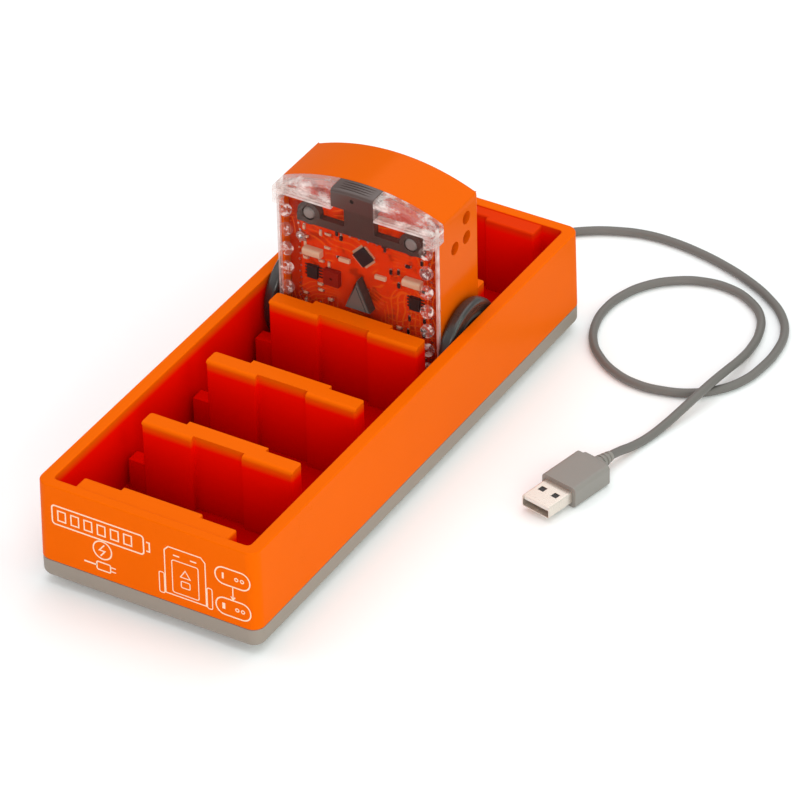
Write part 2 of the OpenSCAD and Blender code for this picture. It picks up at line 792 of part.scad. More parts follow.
module motor_pinion() {
    color("gold") {
        rod_x(frame_x - 7, high_gear_x + gear_t + 0.4, axle_v, motor_w, shaft_d);
        gear(teeth_small, high_gear_x, high_gear_x + gear_t, motor_w, shaft_d - eps, 0);
    }
}

module idler_gear() {
    color("white") {
        gear(teeth_small, low_gear_x - 0.2, high_gear_x + eps, idler_w, idler_d + 2 * run,
             180 / teeth_small);
        gear(teeth_large, high_gear_x, high_gear_x + gear_t - 0.2, idler_w,
             idler_d + 2 * run, 180 / teeth_large);
    }
}

module axle() {
    color("silver") rod_x(frame_x - 2, hub_out - 0.4, axle_v, axle_w, axle_d);
}

module axle_gear() {
    color("white")
        gear(teeth_large, low_gear_x, low_gear_x + gear_t, axle_w, axle_d + 0.02, 0);
}

module wheel_hub() {
    x0 = robot_w / 2 + tyre_gap;
    color("darkorange") difference() {
        rod_x(x0 + 0.2, hub_out - 0.2, axle_v, axle_w, 2 * tyre_in_r);
        rod_ring(hub_out - 1.7, hub_out + 1, tyre_in_r - 1.6, 3.6);
        rod_ring(x0 - 1, x0 + 1.7, tyre_in_r - 1.6, 3.6);
        for (a = [0:60:300]) translate([x0 - 1, axle_v, axle_w]) rotate([a, 0, 0])
            translate([0, 0, 7.8]) rotate([0, 90, 0]) cylinder(h = 10, d = 4.6);
        rod_x(x0 - 1, hub_out + 1, axle_v, axle_w, axle_d + 0.02);
    }
}

module rod_ring(x0, x1, ro, ri) {
    difference() {
        rod_x(x0, x1, axle_v, axle_w, 2 * ro);
        rod_x(x0 - 1, x1 + 1, axle_v, axle_w, 2 * ri);
    }
}

module tyre() {
    x0 = robot_w / 2 + tyre_gap;
    r = tyre_d / 2;
    color("dimgray") translate([x0, axle_v, axle_w]) rotate([0, 90, 0])
        rotate_extrude($fn = 96) polygon([
            [tyre_in_r + 0.02, 0.3], [r - 2, 0], [r - 0.5, 0.7], [r, tyre_w * 0.32],
            [r, tyre_w * 0.68], [r - 0.5, tyre_w - 0.7], [r - 2, tyre_w],
            [tyre_in_r + 0.02, tyre_w - 0.3]]);
}

// ---------------------------------------------------------------- nodes

tray_shell();
divider(1);  // divider_1
divider(2);  // divider_2
divider(3);  // divider_3
divider(4);  // divider_4
base_cover();
rubber_feet();
base_screws();
charger_board();
charge_chips();
contact_pins();
cord_gland();
cord();
plug_relief();
plug_grip();
plug_shell();
plug_tongue();
plug_contacts();
robot_shell();
clear_cover();
receiver_window();
sensor_bar();
nose_lamps();
circuit_board();
board_screws();
processor_chip();
driver_chips();
capacitors();
buzzer();
button_switches();
play_button();
stop_button();
record_button();
battery_pack();
battery_door();
robot_place() mirrored(-1) motor();  // motor_left
robot_place() motor();  // motor_right
robot_place() mirrored(-1) gear_frame();  // gear_frame_left
robot_place() gear_frame();  // gear_frame_right
robot_place() mirrored(-1) motor_pinion();  // motor_pinion_left
robot_place() motor_pinion();  // motor_pinion_right
idler_pins();
robot_place() mirrored(-1) idler_gear();  // idler_gear_left
robot_place() idler_gear();  // idler_gear_right
robot_place() mirrored(-1) axle();  // axle_left
robot_place() axle();  // axle_right
robot_place() mirrored(-1) axle_gear();  // axle_gear_left
robot_place() axle_gear();  // axle_gear_right
robot_place() mirrored(-1) wheel_hub();  // wheel_hub_left
robot_place() wheel_hub();  // wheel_hub_right
robot_place() mirrored(-1) tyre();  // tyre_left
robot_place() tyre();  // tyre_right
line_sensor();
front_skid();
power_switch();
charge_pads();
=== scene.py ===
# %% [markdown]
# # A charging dock with one coding robot in it
# The dock is a long orange tray with five slots on a grey base. One small robot stands
# nose-up in a slot, and a grey cord runs from the back of the dock to a USB plug.
# The solid model of every part is loaded first. It fixes the sizes and the places, and
# the pieces made here are built around it, so nothing has to be fitted by eye.

# %% Load the solid model
import bmesh
import bpy
import json
import math
import random
from mathutils import Matrix, Vector

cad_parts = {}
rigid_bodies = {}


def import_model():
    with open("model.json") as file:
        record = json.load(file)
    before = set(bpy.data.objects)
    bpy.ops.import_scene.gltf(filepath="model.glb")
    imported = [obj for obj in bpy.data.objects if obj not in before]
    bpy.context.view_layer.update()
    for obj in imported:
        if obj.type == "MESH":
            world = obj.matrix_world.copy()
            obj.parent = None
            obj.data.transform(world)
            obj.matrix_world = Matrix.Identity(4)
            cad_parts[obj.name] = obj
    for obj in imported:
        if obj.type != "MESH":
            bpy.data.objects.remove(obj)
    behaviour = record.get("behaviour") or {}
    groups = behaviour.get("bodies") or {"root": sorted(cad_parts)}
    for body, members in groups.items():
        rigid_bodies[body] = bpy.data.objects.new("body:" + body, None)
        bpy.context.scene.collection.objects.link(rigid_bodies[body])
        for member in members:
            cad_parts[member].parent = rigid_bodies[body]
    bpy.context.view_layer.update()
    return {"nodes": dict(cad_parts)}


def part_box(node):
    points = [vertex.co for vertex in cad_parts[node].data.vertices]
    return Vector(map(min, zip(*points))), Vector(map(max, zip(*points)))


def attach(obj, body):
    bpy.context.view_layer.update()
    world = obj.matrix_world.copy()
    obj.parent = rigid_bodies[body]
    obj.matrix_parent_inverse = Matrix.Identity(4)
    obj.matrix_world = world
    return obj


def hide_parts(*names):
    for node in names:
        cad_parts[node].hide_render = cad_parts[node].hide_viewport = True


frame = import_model()
nodes = frame["nodes"]
mm = 0.001

# %% [markdown]
# All sizes below are in millimetres. The tray, base and robot boxes are read from the solid
# model, and the robot gets three measures of its own: x across it, v from its clear face
# into it, and w up from its rear end towards its nose. `place` turns the three into a point.

# %% Main sizes, read from the solid model
def box_mm(node):
    low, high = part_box(node)
    return [v / mm for v in low], [v / mm for v in high]


rim_z = box_mm("tray_shell")[1][2]
base_low, base_high = box_mm("base_cover")
foot_x, foot_y, seam_z = base_high
shell_low, shell_high = box_mm("robot_shell")
face_plate, arch_h = 1.7, 6.6
face_y = shell_low[1] - face_plate
floor_z = shell_low[2]
half_w = shell_high[0]
robot_len = shell_high[2] - floor_z
robot_t = shell_high[1] - face_y
corner_w = robot_len - arch_h
robot_size = [round(v, 1) for v in (2 * half_w, robot_len, robot_t)]
print("rim at", round(rim_z, 2), "robot", robot_size)


def place(x, v, w):
    """A point of the robot in the shared frame, in millimetres."""
    return (x, face_y + v, floor_z + w)


# %% [markdown]
# ## Camera
# A long lens far away gives the nearly parallel lines of a product picture. The camera is
# set from its direction, its small roll and its place, in place of turning it by hand.

# %% Camera
turn, rise, roll = (math.radians(a) for a in (31.2365, 35.7144, -1.2811))
back = Vector((math.sin(turn) * math.cos(rise), -math.cos(turn) * math.cos(rise), math.sin(rise)))
right = Vector((math.cos(turn), math.sin(turn), 0))
up = back.cross(right)
side = right * math.cos(roll) + up * math.sin(roll)
tall = up * math.cos(roll) - right * math.sin(roll)
optics = bpy.data.cameras.new("view_lens")
optics.lens, optics.sensor_width = 242.3, 36.0
optics.clip_start, optics.clip_end = 0.05, 20
camera = bpy.data.objects.new("view_camera", optics)
bpy.context.scene.collection.objects.link(camera)
aim = Matrix((side, tall, back)).transposed().to_4x4()
aim.translation = Vector((0.80362, -1.27033, 1.10028))
camera.matrix_world = aim
bpy.context.scene.camera = camera
print("camera at", [round(v, 3) for v in camera.location])

# %% [markdown]
# ## Floor and studio light
# A product picture on white needs a floor that is as bright as the background. One large
# plane takes the shadows, four big soft lamps hang and stand around the dock, and the sky
# itself is pale so that every glossy edge has something to mirror. The lamps differ a
# little in colour, which keeps the orange that the dock throws on the floor from showing.

# %% Floor, lamps and sky
def studio_lamp(name, spot, target, size, power, tint=(1, 1, 1)):
    glow = bpy.data.lights.new(name, "AREA")
    glow.shape, glow.size, glow.size_y = "RECTANGLE", size[0], size[1]
    glow.energy, glow.color = power, tint
    lamp = bpy.data.objects.new(name, glow)
    bpy.context.scene.collection.objects.link(lamp)
    lamp.location = spot
    lamp.rotation_euler = (Vector(target) - Vector(spot)).to_track_quat("-Z", "Y").to_euler()


bpy.ops.object.select_all(action="DESELECT")
bpy.ops.mesh.primitive_plane_add(size=6, location=(0, 0, -0.0001))
floor = bpy.context.object
floor.name = "studio_floor"
paper = bpy.data.materials.new("floor_white_paper")
paper.use_nodes = True
for socket, value in (("Base Color", (0.915, 0.93, 0.94, 1)), ("Roughness", 0.8),
                      ("Emission Color", (1, 1, 1, 1)), ("Emission Strength", 0.07)):
    paper.node_tree.nodes["Principled BSDF"].inputs[socket].default_value = value
floor.data.materials.append(paper)
dock_heart = (0, 0, 0.03)
studio_lamp("lamp_overhead", (0.015, 0.7, 1.3), (0.015, 0.7, 0), (1.77, 2.4), 16)
studio_lamp("lamp_left", (-1.1, -0.6, 0.8), dock_heart, (0.9, 0.9), 2.0)
studio_lamp("lamp_front", (1.0, -1.3, 0.55), dock_heart, (0.9, 0.9), 10.5, (1, 0.98, 0.93))
studio_lamp("lamp_right", (1.3, 0.1, 0.75), dock_heart, (0.8, 0.8), 4.0, (0.72, 1.0, 0.85))
sky = bpy.data.worlds.new("studio_sky")
sky.use_nodes = True
for socket, value in (("Color", (1, 1, 1, 1)), ("Strength", 0.5)):
    sky.node_tree.nodes["Background"].inputs[socket].default_value = value
bpy.context.scene.world = sky
bpy.context.scene.view_settings.view_transform = "Standard"
print("floor and", len(bpy.data.lights), "lamps")

# %% [markdown]
# ## Supply cord
# The cord is a thin round vinyl lead, a little under half a metre long. It leaves the
# rear of the base, drops to the table and makes one open loop before it reaches its plug.
# Where it crosses itself it climbs in a low hump. A curve with a round bevel is the right
# tool: its points are the same as the solid model's, with smooth handles between them. A
# point with only x and y lies on the table. The bowed curve is a little longer than the
# straight steps between its points.

# %% Cord
wall_y = foot_y
cord_r = 1.6
route = [
    (0, 9, 7), (0, 13, 6.9), (0.5, 19, 5.6), (2, 27, 3.4), (5, 36, 2.1), (10, 45), (17.5, 51.5),
    (27, 56.5), (37, 59.5), (48, 60), (60, 58.5), (72, 55.5), (84, 51), (95, 45), (104, 37.5),
    (110, 28), (112.5, 17), (112.5, 6), (110.5, -4.5), (105.5, -13.5), (98, -20), (89, -23.5),
    (79, -24.5), (69, -22), (60, -16.5), (53, -9), (48.5, 1), (47, 11), (48.5, 21.5), (53, 31),
    (60.5, 38.5), (70, 43), (80.5, 43.5), (90, 40), (97.5, 33.5), (102, 24), (104, 14, 2.1),
    (104.8, 4.5, 3.4), (104.6, -5, 4.7), (103.8, -14.5, 5.2), (102.6, -24, 4.7), (101, -33, 3.4),
    (99.2, -42, 2.1), (97.3, -51), (95.4, -58.5, 2.2), (93.9, -64, 3.3), (92.7, -69, 4.1),
]
on_table = (cord_r,)
route = [(x, y, *(z or on_table)) for x, y, *z in route]
lead = bpy.data.curves.new("cord_curve", "CURVE")
lead.dimensions, lead.bevel_depth, lead.bevel_resolution = "3D", 1.0, 5
lead.resolution_u, lead.use_fill_caps = 6, True
line = lead.splines.new("BEZIER")
line.bezier_points.add(len(route) - 1)
for point, (x, y, z) in zip(line.bezier_points, route):
    point.co = Vector((x, wall_y + y, z)) * mm
    point.radius = cord_r * mm
    point.handle_left_type = point.handle_right_type = "AUTO"
cord = bpy.data.objects.new("supply_cord", lead)
bpy.context.scene.collection.objects.link(cord)

# %% [markdown]
# ## Shader maths written as Python
# A material is a small machine of nodes. Writing it as arithmetic keeps it readable: `Wire`
# stands for one socket, and adding or multiplying wires adds the Math nodes.

# %% Wires
class Wire:
    def __init__(self, finish, socket):
        self.finish, self.socket = finish, socket

    def math(self, operation, a, b=None):
        ends = {0: a} if b is None else {0: a, 1: b}
        return self.finish.add("ShaderNodeMath", {"operation": operation}, ends)

    def __rsub__(self, other):
        return self.math("SUBTRACT", other, self)

    def absolute(self):
        return self.math("ABSOLUTE", self)


for method, operation in {
        "__add__": "ADD", "__radd__": "ADD", "__sub__": "SUBTRACT", "__mul__": "MULTIPLY",
        "__rmul__": "MULTIPLY", "__gt__": "GREATER_THAN", "__lt__": "LESS_THAN",
        "power": "POWER", "wrap": "FLOORED_MODULO", "larger": "MAXIMUM",
        "smaller": "MINIMUM"}.items():
    setattr(Wire, method, lambda self, other, kind=operation: self.math(kind, self, other))
print("wires can be added, multiplied and compared")

# %% [markdown]
# `Finish` is one material with its Principled shader, and its `add` method makes any other
# node. A pattern reads Object coordinates, so it stays on its piece when the piece moves.

# %% Finishes
class Finish:
    def __init__(self, name, color=(0.5, 0.5, 0.5), **settings):
        self.material = bpy.data.materials.new(name)
        self.material.use_nodes = True
        self.tree = self.material.node_tree
        self.shader = self.tree.nodes["Principled BSDF"]
        self.output = self.tree.nodes["Material Output"]
        self.shader.inputs["Base Color"].default_value = (*color, 1)
        for key, value in settings.items():
            socket = key.replace("_", " ").title().replace("Ior", "IOR")
            self.shader.inputs[socket].default_value = value

    def add(self, kind, settings=(), ends=(), out=0):
        node = self.tree.nodes.new(kind)
        for key, value in dict(settings).items():
            setattr(node, key, value)
        for key, value in dict(ends).items():
            self.join(node.inputs[key], value)
        return Wire(self, node.outputs[out])

    def join(self, socket, value):
        if isinstance(value, Wire):
            self.tree.links.new(value.socket, socket)
        else:
            socket.default_value = value

    def at(self, scale):
        """The place on the piece, stretched by three numbers."""
        here = self.add("ShaderNodeTexCoord", out=3)
        return self.add("ShaderNodeMapping", ends={"Vector": here, "Scale": scale})

    def in_mm(self):
        """The place on the piece as three wires, x, y and z in millimetres."""
        node = self.tree.nodes.new("ShaderNodeSeparateXYZ")
        self.join(node.inputs[0], self.at((1000, 1000, 1000)))
        return [Wire(self, node.outputs[i]) for i in range(3)]

    def noise(self, scale, detail=2.0, rough=0.5, squeeze=(1, 1, 1)):
        ends = {"Vector": self.at(squeeze), "Scale": scale, "Detail": detail, "Roughness": rough}
        return self.add("ShaderNodeTexNoise", ends=ends)

    def mix(self, mask, first, second):
        made = self.add("ShaderNodeMix", {"data_type": "RGBA"}, out=2)
        node = made.socket.node
        for socket, value in ((0, mask), (6, first), (7, second)):
            if isinstance(value, tuple) and len(value) == 3:
                value = (*value, 1)
            self.join(node.inputs[socket], value)
        return made

    def color(self, value):
        self.join(self.shader.inputs["Base Color"], value)

    def rough(self, value):
        self.join(self.shader.inputs["Roughness"], value)

    def glow(self, value):
        self.shader.inputs["Emission Strength"].default_value = 1.0
        self.join(self.shader.inputs["Emission Color"], value)

    def bump(self, height, strength, depth):
        ends = {"Height": height, "Strength": strength, "Distance": depth}
        self.join(self.shader.inputs["Normal"], self.add("ShaderNodeBump", ends=ends))


print("finishes can be written as sums")

# %% [markdown]
# ## Moulded plastic
# Most of this object is moulded plastic. Real moulded plastic is never one flat colour: it
# has a very fine skin texture from the mould, slow changes of gloss and of tone. The helper
# takes the colour and how coarse its skin is. `shine` sets how white its reflections are,
# and a little `pearl`, which is metallic, gives them the colour of the plastic itself.

# %% Moulded plastic finish
def moulded(name, color, gloss=0.32, grain=0.08, worn=0.05, coat=0.0, grain_scale=2600,
            shine=0.5, pearl=0.0, depth=None):
    skin = Finish(name, color, roughness=gloss, coat_weight=coat, coat_roughness=0.12,
                  specular_ior_level=shine, metallic=pearl)
    slow = skin.noise(38, 3)
    fine = skin.noise(grain_scale, 2)
    paler = tuple(min(1.0, c * (1 + worn) + worn * 0.03 * max(color)) for c in color)
    deeper = tuple(c * (1 - worn) for c in color)
    tone = skin.mix(slow, deeper, paler)
    # `depth`, when given, paints light or shade that follows the place into the colour.
    skin.color(tone if depth is None else depth(skin, tone))
    skin.rough(gloss + (slow - 0.5) * 0.10 + (fine - 0.5) * 0.06)
    skin.bump(fine, grain, 0.00006)
    return skin.material


print("moulded plastic is ready to use")

# %% [markdown]
# ## Light and shade painted by place
# Light that bounces between the orange walls of a slot turns deep red, and fades towards
# its floor. A short render can't gather that many bounces, so the tray's finish paints it
# in: a mask is 1 inside the slots, and the depth under the rim mixes two reds and a faint
# glow, all painted bounce light and shade. The top of the rear end block gets a painted
# orange-red shade too. In the same way the right flank of the play key gets a painted
# shade, the dark tone of its narrow gap.

# %% Painted slot light and key shade
def painted_slot_bounce(skin, tone):
    x, y, z = skin.in_mm()
    half_x, half_y, fade, rear_y = 38.7, 105.3, 30, 96
    within = (x.absolute() < half_x) * (y.absolute() < half_y)
    depth = ((rim_z - 0.9) - z).larger(0.0) * (1 / fade)
    # Painted bounce light and shade: a red that darkens with depth, plus a faint painted glow.
    red = skin.mix(depth.smaller(1.0), (0.93, 0.005, 0.0), (0.50, 0.0, 0.0))
    inside = within * (depth * 9).smaller(1.0)
    painted_bounce_glow = skin.mix(depth.smaller(1.0), (0.05, 0.0003, 0.0), (0.01, 0.0, 0.0))
    skin.glow(skin.mix(inside, (0.0, 0.0, 0.0), painted_bounce_glow))
    # Painted shade: the top of the rear end block is tinted orange-red.
    rear_block_painted_shade = within * (y > rear_y) * (z < rim_z - 0.3)
    return skin.mix(inside, skin.mix(rear_block_painted_shade, tone, (0.70, 0.036, 0.002)), red)


def painted_key_shade(skin, tone):
    x, y, z = skin.in_mm()
    slope = ((floor_z + 42.2) - z) * (5 / 12)
    # Painted shade: the right flank of the play key is darkened, as in the dark of its gap.
    return skin.mix((x > slope - 0.28) * 0.85, tone, (0.012, 0.010, 0.009))


print("two place-dependent colours")

# %% [markdown]
# ## The plastics of this object
# Two oranges, several warm greys, black epoxy and two whites. The oranges have almost no
# white shine, so their colour stays saturated in soft light. The greys are more matte: the
# base is rough, the cord and its plug are vinyl, and the keys feel like soft rubber.

# %% Plastics
# The tray's orange carries painted bounce light and shade in its slots.
tray_orange = moulded("tray_orange_gloss", (0.83, 0.124, 0.0005), 0.30, 0.05, 0.03, shine=0.01,
                      pearl=0.06, depth=painted_slot_bounce)
robot_orange = moulded("robot_orange_gloss", (0.76, 0.112, 0.0005), 0.16, 0.04, 0.03, shine=0.02,
                       pearl=0.07)
base_grey = moulded("base_grey_matte", (0.285, 0.240, 0.200), 0.55, 0.25, 0.05, 0, 1500)
cord_grey = moulded("cord_grey_vinyl", (0.145, 0.134, 0.123), 0.48, 0.12, 0.06)
grip_grey = moulded("plug_grey_vinyl", (0.245, 0.225, 0.205), 0.45, 0.15, 0.05)
key_grey = moulded("key_grey_soft", (0.115, 0.108, 0.10), 0.42, 0.10, 0.08)
# The play key's grey carries a painted shade on its right flank.
play_grey = moulded("play_key_grey_soft", (0.125, 0.115, 0.105), 0.42, 0.10, 0.08,
                    depth=painted_key_shade)
bar_grey = moulded("sensor_bar_smoke", (0.065, 0.05, 0.045), 0.22, 0.04, 0.08)
hub_grey = moulded("hub_dark_satin", (0.09, 0.085, 0.08), 0.38, 0.10, 0.06)
chip_black = moulded("chip_black_epoxy", (0.012, 0.012, 0.014), 0.42, 0.25, 0.2, 0, 5200)
tongue_white = moulded("tongue_white_nylon", (0.78, 0.77, 0.74), 0.4, 0.08, 0.03)
gear_white = moulded("gear_white_acetal", (0.74, 0.73, 0.69), 0.32, 0.06, 0.03)
print("plastics:", len(bpy.data.materials))

# %% [markdown]
# ## Rubber and metals
# Rubber is dark and rough with a dusty bloom. The plug shell and the motor cans are thin
# plated steel, so their colour is bright and a stretched noise gives faint rolling lines.
# `along` says in which direction the noise is squeezed.

# %% Rubber and metal finishes
def rubber(name, color, gloss=0.46):
    skin = Finish(name, color, roughness=gloss, specular_ior_level=0.7)
    dust = skin.noise(160, 4)
    fine = skin.noise(2200, 3)
    skin.color(skin.mix(dust, color, tuple(c * 1.9 + 0.006 for c in color)))
    skin.rough(gloss - 0.10 + dust * 0.20)
    skin.bump(fine, 0.35, 0.0001)
    return skin.material


def plated(name, color, gloss=0.24, along=(1, 14, 1), metal=1.0):
    skin = Finish(name, color, roughness=gloss, metallic=metal)
    lines = skin.noise(420, 3, squeeze=along)
    haze = skin.noise(60, 2)
    skin.color(skin.mix(haze, tuple(c * 0.88 for c in color), color))
    skin.rough(gloss + (lines - 0.5) * 0.16 + (haze - 0.5) * 0.10)
    skin.bump(lines, 0.06, 0.00005)
    return skin.material


tyre_rubber = rubber("tyre_rubber_black", (0.016, 0.014, 0.013), 0.30)
foot_rubber = rubber("foot_rubber_black", (0.03, 0.03, 0.03))
plug_metal = plated("plug_nickel_shell", (0.80, 0.71, 0.635), 0.3, metal=0.75)
screw_steel = plated("screw_zinc_steel", (0.62, 0.62, 0.64), 0.28, (1, 1, 6))
motor_steel = plated("motor_zinc_can", (0.58, 0.58, 0.6), 0.3)
gold_plate = plated("contact_gold_plate", (0.86, 0.62, 0.24), 0.2)
pinion_brass = plated("pinion_turned_brass", (0.72, 0.52, 0.2), 0.25)
solder = plated("solder_dull_tin", (0.72, 0.68, 0.66), 0.36, (1, 1, 1))
print("rubber and metal finishes made")

# %% [markdown]
# ## Circuit boards
# A board is lacquered glass fibre, and copper tracks show through as raised lines. Two
# wandering combs of lines, cut off by noise, stand for tracks along and across it. Stains
# and a darker margin break up the even red.

# %% Circuit board finish
def lacquer(name, ground, track):
    skin = Finish(name, ground, roughness=0.24, specular_ior_level=0.15)
    blotch = skin.noise(120, 2)
    x, y, z = skin.in_mm()
    wander = skin.noise(55, 1)
    run = (z * 0.42 + (wander - 0.5) * 9).wrap(1.0)
    lane = ((run - 0.5).absolute() < 0.10) * (skin.noise(90, 0) > 0.52)
    cross_run = (x * 0.55 + (wander - 0.5) * 7).wrap(1.0)
    cross_lane = ((cross_run - 0.5).absolute() < 0.12) * (skin.noise(70, 0) > 0.55)
    tracks = lane.larger(cross_lane)
    base = skin.mix(blotch, tuple(c * 0.82 for c in ground), ground)
    stained = ((skin.noise(150, 3, 0.6) - 0.54) * 7).larger(0.0).smaller(0.6)
    margin = (x.absolute() > half_w - 6.6) * (x.absolute() < half_w - 2.2) * 0.6
    base = skin.mix(stained.larger(margin), base, tuple(c * 0.32 for c in ground))
    skin.color(skin.mix(tracks * 0.55, base, track))
    skin.rough(0.2 + blotch * 0.12)
    skin.bump(tracks, 0.5, 0.00004)
    return skin.material


robot_board = lacquer("robot_board_red_lacquer", (0.88, 0.045, 0.001), (0.95, 0.17, 0.01))
green_board = lacquer("charger_board_green_lacquer", (0.02, 0.14, 0.05), (0.05, 0.24, 0.09))
print("board finishes made")

# %% [markdown]
# ## Clear plastic
# The robot's face is clear plastic. Light has to pass straight through it to reach the
# board, so the finish mixes a see-through shader with a bright glossy one. The share of the
# glossy one grows from `least` to `most` where the surface is seen edge-on, which is what
# makes clear edges white. `bright` may add a mask of painted highlights, where that share
# is raised whatever the light.

# %% Clear plastic finish
def clear_plastic(name, least, most, tint, gloss=0.06, cloud=0.0, veil=(0.9, 0.8, 0.78),
                  falloff=3.0, bright=None):
    skin = Finish(name, veil, roughness=gloss, specular_ior_level=0.6)
    through = skin.add("ShaderNodeBsdfTransparent", ends={"Color": (*tint, 1)})
    facing = skin.add("ShaderNodeLayerWeight", ends={"Blend": 0.5}, out=1)
    haze = skin.noise(240, 3)
    share = facing.power(falloff) * (most - least) + least + (haze - 0.5) * cloud
    share = share.smaller(1.0).larger(0.0)
    # The mask paints highlights: it raises the share of the pale glossy shader, whatever the light.
    if bright:
        share = share.larger(bright(skin))
    skin.rough(gloss + haze * 0.05)
    blend = skin.add("ShaderNodeMixShader", ends={0: share, 1: through})
    skin.tree.links.new(skin.shader.outputs[0], blend.socket.node.inputs[2])
    skin.tree.links.new(blend.socket, skin.output.inputs["Surface"])
    return skin.material


print("clear plastic is ready to use")

# %% [markdown]
# Thick clear plastic shows bright highlights in places, and these masks paint them in. The
# long edges of the face get a painted shine, noise streaks over the nose lens and a line
# along its lower ledge get painted highlights, and the small studs get painted glints in
# flecks. Each helper returns a mask between 0 and 1.

# %% Where highlights are painted on clear plastic
def painted_rim_highlight(skin):
    x, y, z = skin.in_mm()
    return (x.absolute() > half_w - 0.75) * (skin.noise(200, 2) * 0.9)


def painted_streak_highlights(skin):
    x, y, z = skin.in_mm()
    painted_streaks = ((skin.noise(120, 4, 0.65, (1, 1, 2.4)) - 0.49) * 3.4).larger(0.0).smaller(0.8)
    ledge_z = floor_z + robot_len - 8.9
    ledge = ((z - ledge_z).absolute() < 0.55) * (skin.noise(200, 2) * 0.9)
    return painted_streaks.larger(ledge)


def painted_fleck_glints(skin):
    return ((skin.noise(420, 3, 0.6) - 0.52) * 7).larger(0.0).smaller(0.75)


face_clear = clear_plastic("face_clear_plastic", 0.003, 0.75, (0.99, 0.97, 0.96), 0.05, 0.004,
                           falloff=5.0, bright=painted_rim_highlight)
lens_clear = clear_plastic("lens_clear_plastic", 0.03, 0.85, (0.99, 0.96, 0.95), 0.06, 0.1,
                           (0.98, 0.90, 0.87), 2.5, bright=painted_streak_highlights)
stud_clear = clear_plastic("stud_clear_plastic", 0.03, 0.6, (0.98, 0.93, 0.92), 0.06, 0.1,
                           (0.98, 0.86, 0.82), 3.0, bright=painted_fleck_glints)
dark_window = clear_plastic("receiver_smoked_plastic", 0.90, 0.98, (0.35, 0.25, 0.22), 0.16, 0.06,
                            (0.092, 0.058, 0.052))
lamp_white = clear_plastic("lamp_milky_lens", 0.72, 0.95, (0.95, 0.95, 0.95), 0.05, 0.3,
                           (0.34, 0.32, 0.31))
print("clear finishes made")

# %% [markdown]
# ## Small finishes
# The last four are for small things: tan ceramic parts with a thin clear coat, the dark
# red buzzer, the shrink wrap of the battery and the pale ink of the printed signs.

# %% Other finishes
part_tan = moulded("part_tan_ceramic", (0.74, 0.50, 0.34), 0.22, 0.1, 0.1, 0.3)
buzzer_red = moulded("buzzer_deep_red", (0.26, 0.010, 0.003), 0.35, 0.1, 0.1, shine=0.1)
battery_wrap = moulded("battery_blue_wrap", (0.03, 0.10, 0.30), 0.3, 0.1, 0.05)
sign_ink = moulded("sign_pale_ink", (0.92, 0.66, 0.48), 0.5, 0.2, 0.04)
print("all finishes:", len(bpy.data.materials))

# %% [markdown]
# ## Modelling helpers
# Each piece starts as a primitive at its size and place, is shaped in edit mode, and is
# finished with modifiers. An operator acts on whatever is selected, so everything is
# deselected first, and faces and edges are then picked by where they are: a test gets each
# one's middle and direction.

# %% Selecting and shaping
def only(*objects):
    for other in bpy.context.view_layer.objects:
        other.select_set(False)
    for one in objects:
        one.select_set(True)
    bpy.context.view_layer.objects.active = objects[0]


def settle(piece, name):
    """Moves a new object's place into its mesh."""
    piece.name = piece.data.name = name
    only(piece)
    bpy.ops.object.transform_apply(location=True, rotation=True, scale=True)
    return piece


def block(name, low, high):
    bpy.ops.object.select_all(action="DESELECT")
    low, high = Vector(low), Vector(high)
    bpy.ops.mesh.primitive_cube_add(size=1, location=(low + high) / 2 * mm,
                                    scale=(high - low) * mm)
    return settle(bpy.context.object, name)


def slab(name, half, y0, y1, z0, z1):
    """A block that reaches equally far to the left and right."""
    return block(name, (-half, y0, z0), (half, y1, z1))


def rod(name, centre, axis, radius, length, sides=48, end_radius=None):
    """A cylinder, or a cone frustum, centred on a point and lying along x, y or z."""
    bpy.ops.object.select_all(action="DESELECT")
    turned = {"x": (0, math.pi / 2, 0), "y": (-math.pi / 2, 0, 0), "z": (0, 0, 0)}[axis]
    top = radius if end_radius is None else end_radius
    bpy.ops.mesh.primitive_cone_add(vertices=sides, radius1=radius * mm, radius2=top * mm,
                                    depth=length * mm, location=Vector(centre) * mm,
                                    rotation=turned)
    return settle(bpy.context.object, name)


def edit(piece, kind, test, step):
    """Picks faces or edges by place and direction, in mm, and runs a step on them."""
    only(piece)
    bpy.ops.object.mode_set(mode="EDIT")
    bpy.ops.mesh.select_mode(type=kind)
    bpy.ops.mesh.select_all(action="DESELECT")
    bpy.ops.object.mode_set(mode="OBJECT")
    mesh = piece.data
    if kind == "FACE":
        for face in mesh.polygons:
            face.select = bool(test(face.center / mm, face.normal))
    else:
        for edge in mesh.edges:
            a, b = (mesh.vertices[i].co / mm for i in edge.vertices)
            edge.select = bool(test((a + b) / 2, (b - a).normalized()))
    bpy.ops.object.mode_set(mode="EDIT")
    step()
    bpy.ops.object.mode_set(mode="OBJECT")
    return piece


def round_edges(piece, width, segments, test):
    return edit(piece, "EDGE", test, lambda: bpy.ops.mesh.bevel(
        offset=width * mm, segments=segments, affect="EDGES"))


def upright(middle, direction):
    return abs(direction.z) > 0.9


def lengthwise(middle, direction):
    return abs(direction.x) > 0.9


def inset_and_push(rim, push):
    """Draws the picked faces in and then moves them up or down."""
    bpy.ops.mesh.inset(thickness=rim * mm, depth=0)
    bpy.ops.mesh.extrude_region_move(TRANSFORM_OT_translate={"value": (0, 0, push * mm)})


print("shaping helpers are ready")

# %% [markdown]
# The second half of the helpers uses modifiers and whole meshes. A Boolean joins, cuts or
# crosses two solids, and a bevel by angle softens what is left sharp. `ready` gives each
# finished piece its finish, the body it rides on and the solids it stands for.

